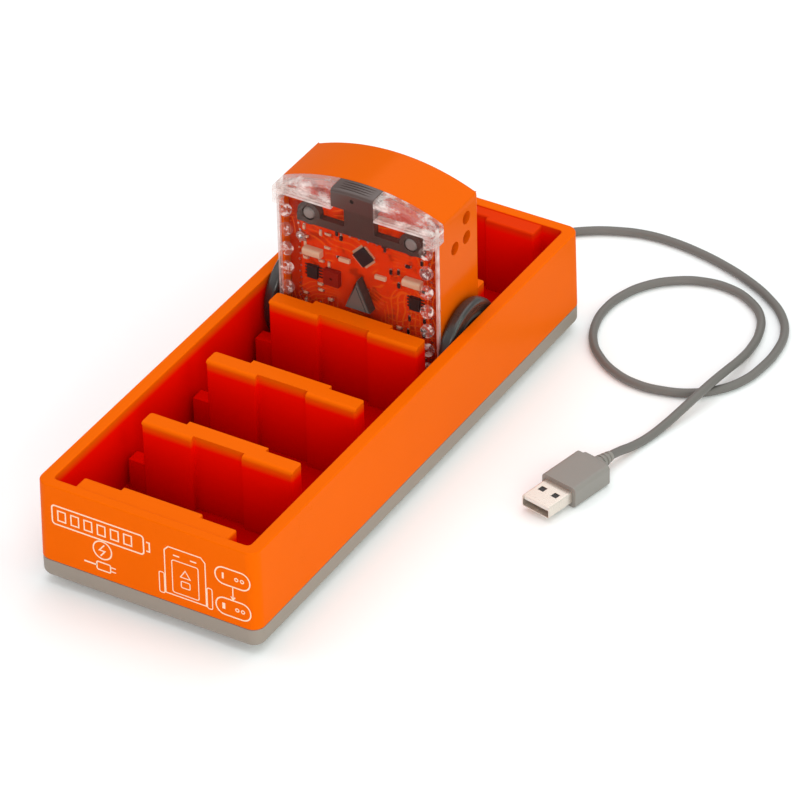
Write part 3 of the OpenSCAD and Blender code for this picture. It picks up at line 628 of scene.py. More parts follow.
# %% Cutting, copying and handing over
def modify(piece, kind, **settings):
    only(piece)
    step = piece.modifiers.new(kind.lower(), kind)
    for key, value in settings.items():
        setattr(step, key, value)
    bpy.ops.object.modifier_apply(modifier=step.name)
    return piece


def combine(piece, other, operation="UNION"):
    modify(piece, "BOOLEAN", object=other, operation=operation, solver="EXACT")
    bpy.data.objects.remove(other)
    return piece


def carve(piece, *cutters):
    for cutter in cutters:
        combine(piece, cutter, "DIFFERENCE")
    return piece


def ring_cut(piece, centre, axis, outer, inner, width, sides=32):
    """Cuts a round groove between two radii."""
    band = rod("band", centre, axis, outer, width, sides)
    return carve(piece, carve(band, rod("core", centre, axis, inner, 2, sides)))


def soften(piece, width, segments=2, angle=50):
    return modify(piece, "BEVEL", width=width * mm, segments=segments, limit_method="ANGLE",
                  angle_limit=math.radians(angle))


def move_all(piece, matrix):
    piece.data.transform(matrix)
    return piece


def copy_of(piece, name, shift=(0, 0, 0)):
    twin = piece.copy()
    twin.data = piece.data.copy()
    twin.name = twin.data.name = name
    bpy.context.scene.collection.objects.link(twin)
    return move_all(twin, Matrix.Translation(Vector(shift) * mm))


def mirrored(piece, name):
    twin = move_all(copy_of(piece, name), Matrix.Scale(-1, 4, (1, 0, 0)))
    return edit(twin, "FACE", lambda c, n: True, bpy.ops.mesh.flip_normals)


def together(name, pieces):
    only(*pieces)
    bpy.ops.object.join()
    pieces[0].name = pieces[0].data.name = name
    return pieces[0]


def ready(piece, body, material, slot, *stands_for, smooth=30):
    """Gives a finished piece its material, its body and the solids it stands for."""
    only(piece)
    if smooth:
        bpy.ops.object.shade_smooth_by_angle(angle=math.radians(smooth))
        modify(piece, "WEIGHTED_NORMAL", keep_sharp=True, weight=50)
    piece.data.materials.clear()
    piece.data.materials.append(material)
    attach(piece, body)
    if stands_for:
        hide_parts(*stands_for)
    print(piece.name, "faces", len(piece.data.polygons))
    return piece


print("cutting helpers are ready")

# %% [markdown]
# ## Orange tray
# The tray is one deep moulding: leaning outer walls, a flat rim, a long cavity and a block
# at each end that matches the dividers. It starts as a block. The top face is drawn in for
# the lean, the upright edges are rounded, the cavity is cut out, and a thin bevel on every
# sharp edge catches the light as the edges of a real moulding do.

# %% Tray
wall_lean = 0.45
rim_x, rim_y = foot_x - wall_lean, foot_y - wall_lean
cave_x, cave_y = 38.2, 104.8
slot_pitch, slot_l, divider_t = 40.7, 34.3, 6.4
divider_x, panel_x, recess_x, step = 29.7, 15.5, 10, 1.9
first_slot = -(5 * slot_l + 4 * divider_t) / 2
slot_floor = floor_z


def lean_in():
    grow = (rim_x / foot_x, rim_y / foot_y, 1)
    bpy.ops.transform.resize(value=grow, center_override=(0, 0, rim_z * mm))


tray = slab("tray_body", foot_x, -foot_y, foot_y, seam_z, rim_z)
edit(tray, "FACE", lambda c, n: n.z > 0.9, lean_in)
round_edges(tray, 4.3, 8, upright)
cavity = slab("cavity", cave_x, -cave_y, cave_y, slot_floor, rim_z + 5)
round_edges(cavity, 1.6, 4, upright)
carve(tray, cavity)
soften(tray, 0.5, 3, 35)
end_y = -first_slot
block_low, block_top = slot_floor - 0.5, rim_z - 0.6
front_block = slab("front_block", divider_x, -cave_y - 1, -end_y, block_low, block_top)
combine(front_block, slab("front_panel", panel_x, -end_y - 1, -end_y + step, block_low, block_top))
rear_block = slab("rear_block", divider_x, end_y, cave_y + 1, block_low, block_top)
carve(rear_block, slab("rear_recess", recess_x, end_y - 1, end_y + step, slot_floor - 1, rim_z))
for end_block in (front_block, rear_block):
    soften(end_block, 0.8, 4)
tray = together("tray_body", [tray, front_block, rear_block])
ready(tray, "dock", tray_orange, "tray_orange", "tray_shell", smooth=40)

# %% [markdown]
# ## Dividers
# Four equal walls keep the robots apart. Each has a stepped plan, a raised panel behind
# and a shallow recess in front, and low shoulders that keep the wheels in line. The front
# top edge is rounded more than the rest. One is modelled and three are copied.

# %% Dividers
set_back, shoulder_h = 1.05, 12


def divider(name, slot_front):
    front, rear = slot_front - divider_t, slot_front
    wall = slab(name, divider_x, front, rear, slot_floor, rim_z)
    combine(wall, slab("panel", panel_x, rear - 1, rear + step, slot_floor, rim_z))
    carve(wall, slab("recess", recess_x, front - 1, front + step, slot_floor - 1, rim_z + 1))
    low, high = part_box("divider_1")
    for s in (-1, 1):
        x = sorted((s * 29, s * high.x / mm))
        combine(wall, block("shoulder", (x[0], front + set_back, slot_floor),
                            (x[1], rear, slot_floor + shoulder_h)))
    round_edges(wall, 1.5, 5, lambda c, d: c.z > rim_z - 0.1 and c.y < front + 2.5
                and abs(d.x) > 0.5)
    round_edges(wall, 1.0, 3, lambda c, d: abs(d.z) > 0.9 and abs(abs(c.x) - divider_x) < 0.1
                and c.z > slot_floor + shoulder_h)
    return soften(wall, 0.35)


first = divider("divider_wall_1", first_slot + slot_pitch)
walls = [first] + [copy_of(first, f"divider_wall_{k}", (0, slot_pitch * (k - 1), 0))
                   for k in (2, 3, 4)]
for k, wall in enumerate(walls, 1):
    ready(wall, "dock", tray_orange, "tray_orange", f"divider_{k}", smooth=35)

# %% [markdown]
# ## Grey base
# The base is a shallow tub under the tray, in a warm matte grey. Its lower edge is well
# rounded and a plinth below is set back, so that the dock seems to float over a dark gap.
# After the rounding the top face is inset and pushed down, which leaves the wall and the
# space for the charging board.

# %% Base
base_floor = base_low[2]
tub_floor = base_floor + 1.0
base = slab("base_tub", foot_x, -foot_y, foot_y, tub_floor, seam_z)
round_edges(base, 4.5, 8, upright)
round_edges(base, 2.2, 6, lambda c, d: c.z < tub_floor + 0.1)
edit(base, "FACE", lambda c, n: n.z > 0.9 and c.z > seam_z - 0.1,
     lambda: inset_and_push(1.6, -6.4))
plinth = slab("plinth", foot_x - 4, 4 - foot_y, foot_y - 4, base_floor, tub_floor + 0.3)
combine(base, round_edges(plinth, 2.0, 6, upright))
for x in (-1, 1):
    for y in (-1, 0, 1):
        centre = (x * (foot_x - 7.4), y * (foot_y - 14), base_floor)
        carve(base, rod("screw_well", centre, "z", 2.7, 2.0, 32))
carve(base, rod("gland_hole", (0, foot_y, 7), "y", 2.6, 8, 32))
soften(base, 0.25)
ready(base, "dock", base_grey, "base_grey", "base_cover", smooth=40)

# %% [markdown]
# ## Rubber feet
# Each foot is a flat rubber button with a rounded rim and a shallow dish, so that it grips
# like a sucker. A cylinder is inset below and pushed in, then its rim is rounded.

# %% Feet
def foot(x, y):
    pad = rod("foot", (x, y, 1), "z", 6, 2, 40)
    edit(pad, "FACE", lambda c, n: n.z < -0.9, lambda: inset_and_push(1.4, 0.5))
    return soften(pad, 0.4, 3)


feet = [foot(x * (foot_x - 18), y * (foot_y - 16)) for x in (-1, 1) for y in (-1, 1)]
ready(together("rubber_foot_pads", feet), "dock", foot_rubber, "foot_rubber", "rubber_feet")

# %% [markdown]
# ## Robot shell
# The shell is an orange half-box, open on the side of its clear face. Its nose is a low
# arch. A block is crossed with a large cylinder for the arch, the long outer corners are
# rounded, and a smaller block crossed with a smaller arch is cut out for the inside. The
# round side holes are real bores with a tube behind each, as brick toy pins need.

# %% Robot shell
arch_r = (half_w ** 2 + arch_h ** 2) / (2 * arch_h)
arch_w = robot_len - arch_r


def arched(piece, inset=0.0, sides=720):
    centre = place(0, 12, arch_w)
    return combine(piece, rod("arch", centre, "y", arch_r - inset, 80, sides), "INTERSECT")


def robot_block(name, x0, x1, v0, v1, w0, w1):
    return block(name, place(x0, v0, w0), place(x1, v1, w1))


def robot_slab(name, half, *rest):
    return robot_block(name, -half, half, *rest)


def robot_rod(name, x, v, w, axis, radius, length, sides=32):
    return rod(name, place(x, v, w), axis, radius, length, sides)


def side_corner(middle, direction):
    return abs(direction.y) > 0.9 and abs(middle.x) > half_w - 0.2


wall_t = 1.8
shell_in = robot_t - wall_t
shell = arched(robot_slab("robot_body", half_w, face_plate, robot_t, 0, robot_len + 1))
round_edges(shell, 2.2, 6, lambda c, d: side_corner(c, d) and c.z > floor_z + 60)
round_edges(shell, 1.2, 4, lambda c, d: side_corner(c, d) and c.z < floor_z + 1)
round_edges(shell, 1.1, 4, lambda c, d: c.y > face_y + robot_t - 0.05)
inner = arched(robot_slab("inner", half_w - wall_t, -1, shell_in, wall_t, robot_len), wall_t)
carve(shell, inner)
carve(shell, robot_slab("nose_step", 50, -1, 4.7, corner_w - 7.1, robot_len + 2))
hole_v, hole_w, axle_w = robot_t / 2 - 2, 59, 18.8
side_holes = [(hole_v, hole_w), (hole_v + 8, hole_w), (hole_v + 8, hole_w + 8)]
for s in (-1, 1):
    for v, w in side_holes:
        combine(shell, robot_rod("tube", s * 27.6, v, w, "x", 3.35, 7.0))
for s in (-1, 1):
    for v, w in side_holes:
        carve(shell, robot_rod("bore", s * 29, v, w, "x", 2.45, 9.8, 40))
    carve(shell, robot_rod("axle_bore", s * 31, robot_t / 2, axle_w, "x", 1.6, 6))
through = (shell_in - 1, robot_t + 1)
carve(shell,
      robot_slab("door_gap", 21, *through, corner_w - 29, corner_w - 10),
      robot_slab("sensor_gap", 5.1, *through, corner_w - 8.9, corner_w - 2.7),
      robot_block("switch_gap", -11.6, -5.4, *through, 9.4, 12.6),
      robot_rod("skid_bore", 0, robot_t, corner_w + 0.8, "y", 2.05, 8))
for s in (-1, 1):
    carve(shell, rod("pad_bore", place(s * 6, 11.2, 0), "z", 2.55, 6, 32))
soften(shell, 0.28, 2, 45)
ready(shell, "robot", robot_orange, "robot_orange", "robot_shell", smooth=32)

# %% [markdown]
# ## Clear face
# The robot's front is a clear plate with openings for the keys and the window. It is made
# solid and then cut, because clear plastic shows its inner faces too. The prism of the
# play key is a block whose top face is pinched to a line.

# %% Clear face
lens_low = corner_w - 2.6


def triangle(name, grow, v0, v1):
    """The play key's three-sided prism, pointing to the nose."""
    low, high = 30.2 - grow, 42.2 + grow * 1.6
    half = 5 + grow * 1.4
    prism = robot_slab(name, half, v0, v1, low, high)
    return edit(prism, "FACE", lambda c, n: n.z > 0.9, lambda: bpy.ops.transform.resize(
        value=(0.02, 1, 1), center_override=(0, 0, 0)))


face = arched(robot_slab("clear_face", half_w, 0, 1.6, 0, robot_len + 1))
round_edges(face, 1.2, 4, side_corner)
carve(face,
      robot_slab("window_gap", 8.5, -5, 5, lens_low + 1.4, robot_len + 2),
      triangle("play_gap", 0.3, -1, 3),
      robot_slab("stop_gap", 4.3, -1, 3, 17.1, 25.7),
      robot_rod("record_gap", 0, 1, 9.8, "y", 4.5, 4, 40))
soften(face, 0.2)
ready(face, "robot", face_clear, "clear_plastic", "clear_cover")

# %% [markdown]
# Brick studs run down both edges of the face, eight on each side and 8 mm apart, as on any
# toy brick. One short peg with a rounded rim is modelled and copied fifteen times.

# %% Studs
pitch = 8
one_stud = robot_rod("stud", -28, -0.84, 7, "y", 2.4, 1.74, 32)
round_edges(one_stud, 0.35, 3, lambda c, d: c.y < face_y - 1.6)
studs = [one_stud] + [copy_of(one_stud, "stud", (x, 0, pitch * k)) for x in (0, 7 * pitch)
                      for k in range(8) if (x, k) != (0, 0)]
ready(together("face_studs", studs), "robot", stud_clear, "clear_plastic")

# %% [markdown]
# A thick clear lens wraps over the nose. The slot for the window is cut before any edge is
# rounded, because a Boolean on plain flat faces is the safest. Then the corners are
# rounded, the inside is hollowed, and two small ledges close it towards the face.

# %% Nose lens
lens = arched(robot_slab("nose_lens", half_w, -2.6, 4.6, corner_w - 7, robot_len + 1))
carve(lens, robot_slab("window_slot", 8.5, -5, 5, corner_w - 9, robot_len + 2))
round_edges(lens, 2.0, 6, lambda c, d: side_corner(c, d) and c.z > floor_z + corner_w - 3)
round_edges(lens, 1.3, 5, lambda c, d: c.y < face_y - 2.5 and c.z > floor_z + corner_w - 1
            and abs(c.x) > 8.6 and abs(d.z) < 0.9)
hollow = arched(robot_slab("lens_hollow", half_w - 1.6, -1.2, 6, 0, robot_len), 1.5)
carve(lens, hollow, robot_slab("brow", 28, -5, 0, 0, lens_low))
soften(lens, 0.15)
ledges = [soften(robot_block("ledge", x0, x1, -1.3, 1.2, lens_low + 0.02, lens_low + 1.2),
                 0.3, 3, 35) for x0, x1 in ((-30.6, -8.6), (8.6, 30.6))]
ready(together("nose_lens", [lens] + ledges), "robot", lens_clear, "clear_plastic")

# %% [markdown]
# ## Smoked receiver window
# In the middle of the nose sits a smoked plastic window for light signals. It follows the
# arch, has fine ridges over its top and one small round hole in front.

# %% Receiver window
window = arched(robot_slab("receiver_hood", 8.3, -2.6, 4.6, lens_low + 1.6, robot_len + 1),
                0.05)
round_edges(window, 1.4, 5, lambda c, d: c.y < face_y - 2.5 and c.z > floor_z + 76)
carve(window, robot_slab("hood_hollow", 7, -1.0, 6, lens_low, robot_len - 1.6),
      robot_rod("eye", 0, -2.4, corner_w + 3.2, "y", 0.8, 2, 24))
for k in range(4):
    v = 1.35 * k
    carve(window, robot_slab("ridge", 7.2, v - 1.1, v - 0.7, robot_len - 0.35, robot_len + 1))
soften(window, 0.12)
ready(window, "robot", dark_window, "dark_window", "receiver_window")

# %% [markdown]
# ## Sensor bar and lamps
# Behind the clear face a dark bar runs across the board and holds two lamps in round
# pods, with a taller block in the middle. The pods are short cylinders joined to the bar.
# All of them share one height and one distance from the middle.

# %% Sensor bar
bar_w, lamp_x = corner_w - 13, 20.3
lamp_w = bar_w + 2.4
bar = robot_slab("sensor_bar_body", 25, 1.9, 4.7, bar_w - 1.6, bar_w + 1.6)
combine(bar, robot_slab("bar_centre", 6, 1.9, 4.7, bar_w + 1.5, corner_w - 3))
for s in (-1, 1):
    combine(bar, robot_rod("pod", s * lamp_x, 3.35, lamp_w, "y", 4.5, 2.7, 40))
    carve(bar, robot_rod("pod_bore", s * lamp_x, 2.2, lamp_w, "y", 2.6, 12, 32))
soften(bar, 0.3, 3, 45)
ready(bar, "robot", bar_grey, "bar_grey", "sensor_bar")

# %% [markdown]
# Each lamp is a small light-emitting diode in a milky case with a domed front. A short
# cylinder with a wide bevel on its front rim gives that dome with few faces.

# %% Lamps
def lamp_dome(x):
    dome = robot_rod("lamp_dome", x, 3.2, lamp_w, "y", 2.45, 2.8, 32)
    return round_edges(dome, 1.0, 5, lambda c, d: c.y < face_y + 1.9)


ready(together("nose_lamp_domes", [lamp_dome(s * lamp_x) for s in (-1, 1)]),
      "robot", lamp_white, "lamp_lens", "nose_lamps")

# %% [markdown]
# ## Small parts on the circuit board
# A board this size carries dozens of tiny parts. Their places are spread in rows by simple
# rules with a fixed seed, so the board looks busy without drawing each part by hand. Every
# part is a bevelled block with bright ends, like a real surface-mount resistor.

# %% Board parts
pick = random.Random(7)
board_v = 4.7


def chip_part(name, x, w, size, height, bevel=0.12):
    half_x, half_z = size[0] / 2, size[1] / 2
    low = place(x - half_x, board_v - height, w - half_z)
    part = block(name, low, place(x + half_x, board_v, w + half_z))
    return soften(part, bevel)


spots = []
for side_sign in (-1, 1):
    for w in range(6, 57, 3):
        for column in (14.2, 17.6, 23.6):
            busy_chip = 33 < w < 41 and column < 24
            if pick.random() < 0.62 and not busy_chip and not 43.5 < w < 48:
                spots.append((side_sign * (column + pick.uniform(-0.5, 0.5)),
                              w + pick.uniform(-0.6, 0.6)))
for w in (12, 15.4, 46, 54.5, 55.8):
    spots.append((pick.uniform(-11, -8), w))
    spots.append((pick.uniform(8, 11), w + 0.8))
bodies_made, ends_made = [], []
for k, (x, w) in enumerate(spots):
    along = pick.random() < 0.5
    size, end = ((1.7, 0.9), (0.7, 0.9)) if along else ((0.9, 1.7), (0.9, 0.7))
    bodies_made.append(chip_part("smd", x, w, size, 0.55 + 0.2 * (k % 3)))
    for s in (-1, 1):
        dx, dw = (s * 0.95, 0) if along else (0, s * 0.95)
        ends_made.append(chip_part("pad", x + dx, w + dw, end, 0.42, 0.08))
third = len(bodies_made) // 3
ready(together("board_parts_tan", bodies_made[:third * 2]), "robot", part_tan, "capacitor_tan")
ready(together("board_parts_dark", bodies_made[third * 2:]), "robot", chip_black, "chip_black")
print("small parts:", len(spots))

# %% [markdown]
# Rows of solder dots follow both edges of the board, where tracks pass through it, and
# six pins stand in a row near the bar. They join the bright ends of the small parts.

# %% Solder pads and vias
for x in (-26.2, 26.2):
    for k in range(22):
        ends_made.append(robot_rod("via", x + 0.5 * (k % 2), board_v - 0.05, 5 + 2.5 * k,
                                   "y", 0.42, 0.14, 12))
for k in range(6):
    ends_made.append(robot_rod("pin", -9 + 3.6 * k, board_v - 0.1, 56.2, "y", 0.5, 0.3, 12))
ready(together("board_solder", ends_made), "robot", solder, "switch_metal")

# %% [markdown]
# Two large tan capacitors lie under the lamps, and two flat tan parts beside the chip. The
# large ones have round shoulders towards the viewer, so their front edges get a wide bevel.

# %% Large tan parts
def can(x, w):
    part = robot_block("tan_part", x - 3.6, x + 3.6, 1.75, board_v, w - 1.55, w + 1.55)
    round_edges(part, 1.1, 5, lambda c, d: abs(d.x) > 0.9 and c.y < face_y + 3)
    return soften(part, 0.25)


tan_parts = [can(-20, 45.6), can(20, 45.6)]
for x0, x1, w0, w1 in ((4.6, 9, 42.4, 44), (-9.8, -5.4, 45, 46.6)):
    tan_parts.append(soften(robot_block("bar_part", x0, x1, 3.5, board_v, w0, w1), 0.2))
ready(together("board_cans", tan_parts), "robot", part_tan, "capacitor_tan", "capacitors")

# %% [markdown]
# The processor is a flat black square that is turned by 45 degrees on its board, with
# eight legs at each side. Body and legs are built straight and then turned together.

# %% Processor with its rows of legs
cpu_w, leg_out, leg_pitch = 49.5, 3.35, 0.7
cpu = robot_slab("processor_body", 3, 3.75, board_v, cpu_w - 3, cpu_w + 3)
soften(cpu, 0.2)
spin_cpu = Matrix.Translation(Vector(place(0, 0, cpu_w)) * mm)
tilt = spin_cpu @ Matrix.Rotation(math.radians(45), 4, "Y") @ spin_cpu.inverted()
ready(move_all(cpu, tilt), "robot", chip_black, "chip_black", "processor_chip")
legs = []
for k in range(8):
    shift = leg_pitch * k - 2.45
    for out in (-leg_out, leg_out):
        for x, w, dx, dw in ((shift, out, 0.18, 0.5), (out, shift, 0.5, 0.18)):
            legs.append(robot_block("leg", x - dx, x + dx, 4.35, 4.68,
                                    cpu_w + w - dw, cpu_w + w + dw))
ready(move_all(together("processor_legs", legs), tilt), "robot", part_tan, "capacitor_tan")

# %% [markdown]
# ## Keys
# Three soft grey keys stand in openings of the clear face. Their tops are slightly proud
# and have rounded rims; the play key also has a groove that follows its right edge.

# %% Keys
def key_rim(middle, direction):
    return middle.y < face_y - 0.8


play = triangle("play_key_cap", 0, -0.9, 3.1)
round_edges(play, 0.45, 3, key_rim)
slant = math.atan2(4.9, 12.0)
groove = slab("groove", 0.22, -1, 0.45, -5.2, 5.2)
spot = Matrix.Translation(Vector(place(1.75, -0.9, 35.0)) * mm)
carve(play, move_all(groove, spot @ Matrix.Rotation(-slant, 4, "Y")))
ready(play, "play_key", play_grey, "button_grey", "play_button")
stop = robot_slab("stop_key_cap", 4, -0.9, 3.1, 17.4, 25.4)
round_edges(stop, 0.8, 4, lambda c, d: abs(d.y) > 0.9)
round_edges(stop, 0.45, 3, key_rim)
ready(stop, "stop_key", key_grey, "button_grey", "stop_button")
record = robot_rod("record_key_cap", 0, 1.1, 9.8, "y", 4.2, 4, 48)
round_edges(record, 0.45, 3, key_rim)
ready(record, "record_key", key_grey, "button_grey", "record_button")

# %% [markdown]
# ## Tyres
# The tyres are plain black rubber rings with round shoulders and two fine grooves in each
# side. A cylinder is bored, its outer rims get a wide bevel, and thin rings are cut in.

# %% Tyres
def tyre(name):
    wheel_x, half_t = 35.1, 2.3
    centre = place(wheel_x, robot_t / 2, axle_w)
    ring = rod(name, centre, "x", 17.3, 2 * half_t, 96)
    round_edges(ring, 1.5, 6, lambda c, d: abs(abs(c.x - wheel_x) - half_t) < 0.01)
    carve(ring, rod("tyre_bore", centre, "x", 12.7, 8, 96))
    for s in (-1, 1):
        flank = place(wheel_x + s * half_t, robot_t / 2, axle_w)
        for radius in (14.4, 15.1):
            ring_cut(ring, flank, "x", radius, radius - 0.3, 0.5, 96)
    return soften(ring, 0.2)


right_tyre = tyre("tyre_ring_right")
left_tyre = mirrored(right_tyre, "tyre_ring_left")
ready(right_tyre, "right_wheel", tyre_rubber, "tyre_rubber", "tyre_right", smooth=40)
ready(left_tyre, "left_wheel", tyre_rubber, "tyre_rubber", "tyre_left", smooth=40)

# %% [markdown]
# ## USB plug
# The plug is built lying along x and then turned and moved to the end of the cord in its
# mesh. The grip is soft grey vinyl with a step near the cord, the shell is folded plated
# steel with two square windows; thin black sheets just inside them are painted shade for
# the dark behind the windows.

# %% Plug
last_x, last_y, last_z = route[-1]
plug_turn = math.radians(-102)
to_end = Matrix.Translation(Vector((last_x, wall_y + last_y, last_z)) * mm)
to_end = to_end @ Matrix.Rotation(plug_turn, 4, "Z")
grip = block("plug_grip_body", (9, -7.6, -4.1), (27, 7.6, 4.1))
round_edges(grip, 1.6, 5, lengthwise)
combine(grip, soften(block("grip_neck", (7, -5.6, -3.6), (10, 5.6, 3.6)), 1.2, 4))
carve(grip, block("grip_socket", (21, -5.98, -2.23), (30, 5.98, 2.23)))
soften(grip, 0.35, 3, 45)
ready(move_all(grip, to_end), "dock", grip_grey, "cord_grey", "plug_grip")

shell_tube = block("plug_shell_tube", (21, -6, -2.25), (39, 6, 2.25))
round_edges(shell_tube, 0.55, 4, lengthwise)
inside = block("shell_inside", (20, -5.7, -1.95), (41, 5.7, 1.95))
round_edges(inside, 0.3, 3, lengthwise)
carve(shell_tube, inside)
for s in (-1, 1):
    carve(shell_tube, block("window", (30.8, s * 2.9 - 1.2, -4), (33.2, s * 2.9 + 1.2, 4)))
carve(shell_tube, block("fold_seam", (20, -0.06, -4), (41, 0.06, -1)))
soften(shell_tube, 0.08)
ready(move_all(shell_tube, to_end), "dock", plug_metal, "plug_metal", "plug_shell")

# Thin black sheets inside the windows are painted shade for the dark behind them.
window_shade_sheets = [soften(block("shade_sheet", (30.5, s * 2.9 - 1.5, t * 1.86 - 0.05),
                       (33.5, s * 2.9 + 1.5, t * 1.86 + 0.05)), 0.03, 2, 35)
          for s in (-1, 1) for t in (-1, 1)]
window_shade_sheets = together("plug_window_shade_sheets", window_shade_sheets)
ready(move_all(window_shade_sheets, to_end), "dock", chip_black, "plug_metal")

# %% [markdown]
# ## Strain reliefs
# Ribbed rubber sleeves keep the cord from kinking at its two ends. Each is a cone with
# round grooves cut in; the one at the base also has a flange, and a neck in its hole.

# %% Strain reliefs
relief = rod("plug_relief_sleeve", (3.5, 0, 0), "x", 1.8, 7, 32, 3.0)
for k in range(3):
    ring_cut(relief, (1.8 + 1.9 * k, 0, 0), "x", 4, 1.75 + 0.3 * k, 0.7)
soften(relief, 0.12)
ready(move_all(relief, to_end), "dock", grip_grey, "cord_grey", "plug_relief")
gland = rod("cord_gland_sleeve", (0, foot_y + 5.1, 7), "y", 2.8, 7.8, 32, 2.1)
for k in range(4):
    ring_cut(gland, (0, foot_y + 2.4 + 1.6 * k, 7), "y", 4, 1.9, 0.6)
combine(gland, rod("gland_flange", (0, foot_y + 0.7, 7), "y", 3.1, 1.2, 40))
combine(gland, rod("gland_neck", (0, foot_y - 1, 7), "y", 2.5, 3, 40))
soften(gland, 0.12)
ready(gland, "dock", cord_grey, "cord_grey", "cord_gland")

# %% [markdown]
# ## Printed signs on the front wall
# Thin pale lines on the front wall tell what the dock does. They are drawn here as plain
# signs without letters: a battery, a plug, a robot in its slot and two key sequences.
# Each line is kept as a list of points, in millimetres across and up the wall.

# %% Printed signs
ink_lines = []


def on_wall(x, z):
    lean = wall_lean * (z - seam_z) / (rim_z - seam_z)
    return Vector((x, -foot_y + lean - 0.012, z)) * mm


def stroke(points, width=0.42, closed=False):
    ink_lines.append((points, width, closed))


def round_box(x, z, w, h, r, width=0.42):
    corners = [(x + w - r, z + h - r, 0), (x + r, z + h - r, 90), (x + r, z + r, 180),
               (x + w - r, z + r, 270)]
    points = [(cx + r * math.cos(math.radians(a + t)), cz + r * math.sin(math.radians(a + t)))
              for cx, cz, a in corners for t in range(0, 91, 15)]
    stroke(points, width, True)


def disc_ring(x, z, r, width=0.42):
    turns = [t / 20 * math.pi for t in range(40)]
    stroke([(x + r * math.cos(t), z + r * math.sin(t)) for t in turns], width, True)


round_box(-36.5, 26.2, 36, 7.6, 1.2, 0.55)
stroke([(0.6, 28.2), (1.8, 28.2), (1.8, 31.8), (0.6, 31.8)], 0.55)
for k in range(6):
    x0, x1 = -34.2 + 5.2 * k, -31.2 + 5.2 * k
    stroke([(x0, 28), (x0, 32), (x1, 32), (x1, 28)], 0.5, True)
disc_ring(-17, 22, 3.6, 0.5)
stroke([(-16.2, 24.3), (-18.2, 21.8), (-16, 21.8), (-17.8, 19.5)], 0.5)
stroke([(-24.5, 15.2), (-19.5, 15.2)], 0.6)
round_box(-19.5, 13.6, 5.4, 3.2, 0.6, 0.5)
stroke([(-14, 14.4), (-12, 14.4)], 0.45)
stroke([(-14, 16.0), (-12, 16.0)], 0.45)
stroke([(7.6, 14), (7.6, 31.5), (9.2, 33.2), (21.8, 33.2), (23.4, 31.5), (23.4, 14)], 0.42, True)
round_box(10.4, 15.2, 10.2, 13.2, 0.8, 0.36)
stroke([(11, 30.4), (13.4, 30.4)], 0.5)
stroke([(17.6, 30.4), (20, 30.4)], 0.5)
stroke([(13.6, 22.4), (17.4, 22.4), (15.5, 25.4)], 0.36, True)
round_box(13.8, 18.2, 3.4, 2.6, 0.5, 0.36)
round_box(5.2, 13.4, 2.0, 8.4, 0.7, 0.36)
round_box(23.8, 13.4, 2.0, 8.4, 0.7, 0.36)
for z in (25.8, 13.4):
    round_box(27.2, z, 13.4, 6.8, 3.3, 0.5)
    disc_ring(35.4, z + 3.4, 0.6, 0.4)
    disc_ring(37.6, z + 3.4, 0.6, 0.4)
stroke([(30.2, 28), (30.2, 30.4)], 0.7)
stroke([(30.2, 15.6), (30.2, 18)], 1.1)
stroke([(33.9, 25.6), (33.9, 20.6)], 0.4)
stroke([(33.1, 21.7), (33.9, 20.5), (34.7, 21.7)], 0.4)
print("sign lines:", len(ink_lines))

# %% [markdown]
# Each line becomes a flat ribbon that lies on the leaning wall. At every point the ribbon
# goes across the mean of the two directions that meet there, so corners stay sharp. A
# Solidify modifier then gives the ink its very small thickness.

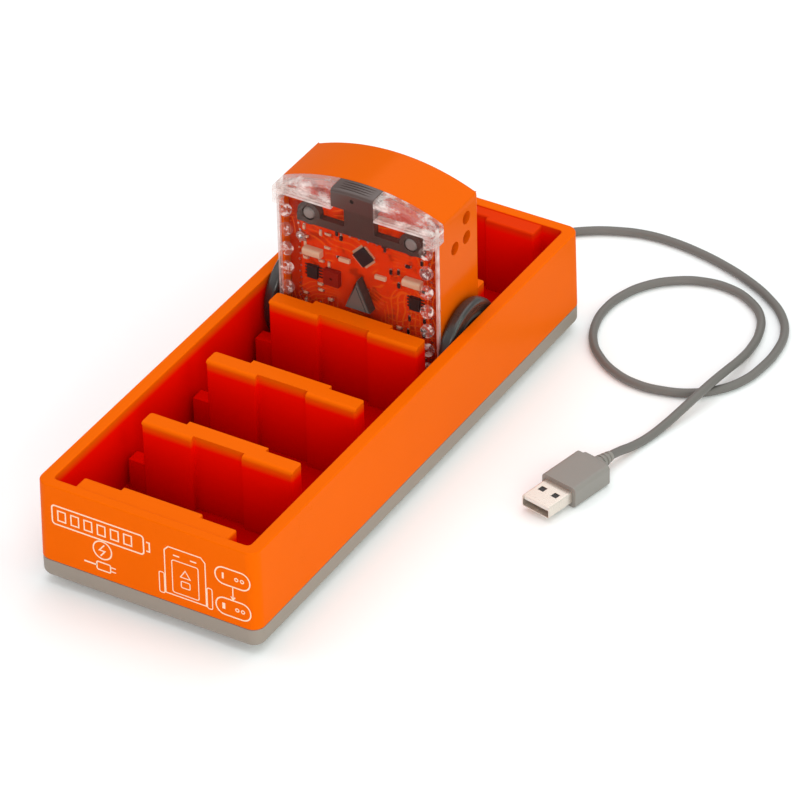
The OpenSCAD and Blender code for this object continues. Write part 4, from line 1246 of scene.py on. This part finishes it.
# %% Ink ribbons
def ribbon_mesh(lines):
    book = bmesh.new()
    for points, width, closed in lines:
        count = len(points)
        pairs = []
        for i, (x, z) in enumerate(points):
            before = points[i - 1] if (closed or i) else points[i]
            after = points[(i + 1) % count] if (closed or i < count - 1) else points[i]
            d1, d2 = Vector((x - before[0], z - before[1])), Vector((after[0] - x, after[1] - z))
            d1 = d1.normalized() if d1.length else d2.normalized()
            d2 = d2.normalized() if d2.length else d1
            across = Vector((-(d1 + d2).y, (d1 + d2).x)).normalized()
            reach = width / 2 / max(0.5, across.dot(Vector((-d1.y, d1.x))))
            pairs.append([book.verts.new(on_wall(x + s * across.x * reach,
                                                 z + s * across.y * reach)) for s in (1, -1)])
        for i in range(count if closed else count - 1):
            a, b = pairs[i], pairs[(i + 1) % count]
            book.faces.new((a[1], b[1], b[0], a[0]))
    bmesh.ops.recalc_face_normals(book, faces=book.faces)
    mesh = bpy.data.meshes.new("front_signs")
    book.to_mesh(mesh)
    book.free()
    return mesh


signs = bpy.data.objects.new("front_signs", ribbon_mesh(ink_lines))
bpy.context.scene.collection.objects.link(signs)
modify(signs, "SOLIDIFY", thickness=0.02 * mm, offset=0)
ready(signs, "dock", sign_ink, "tray_orange", smooth=0)

# %% [markdown]
# ## Finishes for the solids that stay
# Gears, motors, screws, contacts and other inner parts already have their exact shape, so
# they keep their meshes. Each one only gets the finish of its own material.

# %% Finishes by node
def both(*stems):
    return [f"{stem}_{side}" for stem in stems for side in ("left", "right")]


kept = {
    green_board: ["charger_board"], robot_board: ["circuit_board"], buzzer_red: ["buzzer"],
    chip_black: ["charge_chips", "driver_chips", "line_sensor"],
    gold_plate: ["contact_pins", "plug_contacts", "charge_pads"],
    screw_steel: ["base_screws", "board_screws", "button_switches", "idler_pins", *both("axle")],
    tongue_white: ["plug_tongue"], battery_wrap: ["battery_pack"], key_grey: ["power_switch"],
    motor_steel: both("motor"), pinion_brass: both("motor_pinion"),
    gear_white: both("gear_frame", "idler_gear", "axle_gear"),
    robot_orange: ["battery_door"], hub_grey: [*both("wheel_hub"), "front_skid"],
}
for material, names in kept.items():
    for name in names:
        nodes[name].data.materials.clear()
        nodes[name].data.materials.append(material)
bare = [n for n, o in nodes.items() if not o.hide_render and not any(n in v for v in kept.values())]
print("kept solids:", sum(len(v) for v in kept.values()), "without a finish:", bare)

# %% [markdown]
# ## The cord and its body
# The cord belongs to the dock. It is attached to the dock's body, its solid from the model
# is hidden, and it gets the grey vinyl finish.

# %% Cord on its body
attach(cord, "dock")
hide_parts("cord")
cord.data.materials.append(cord_grey)
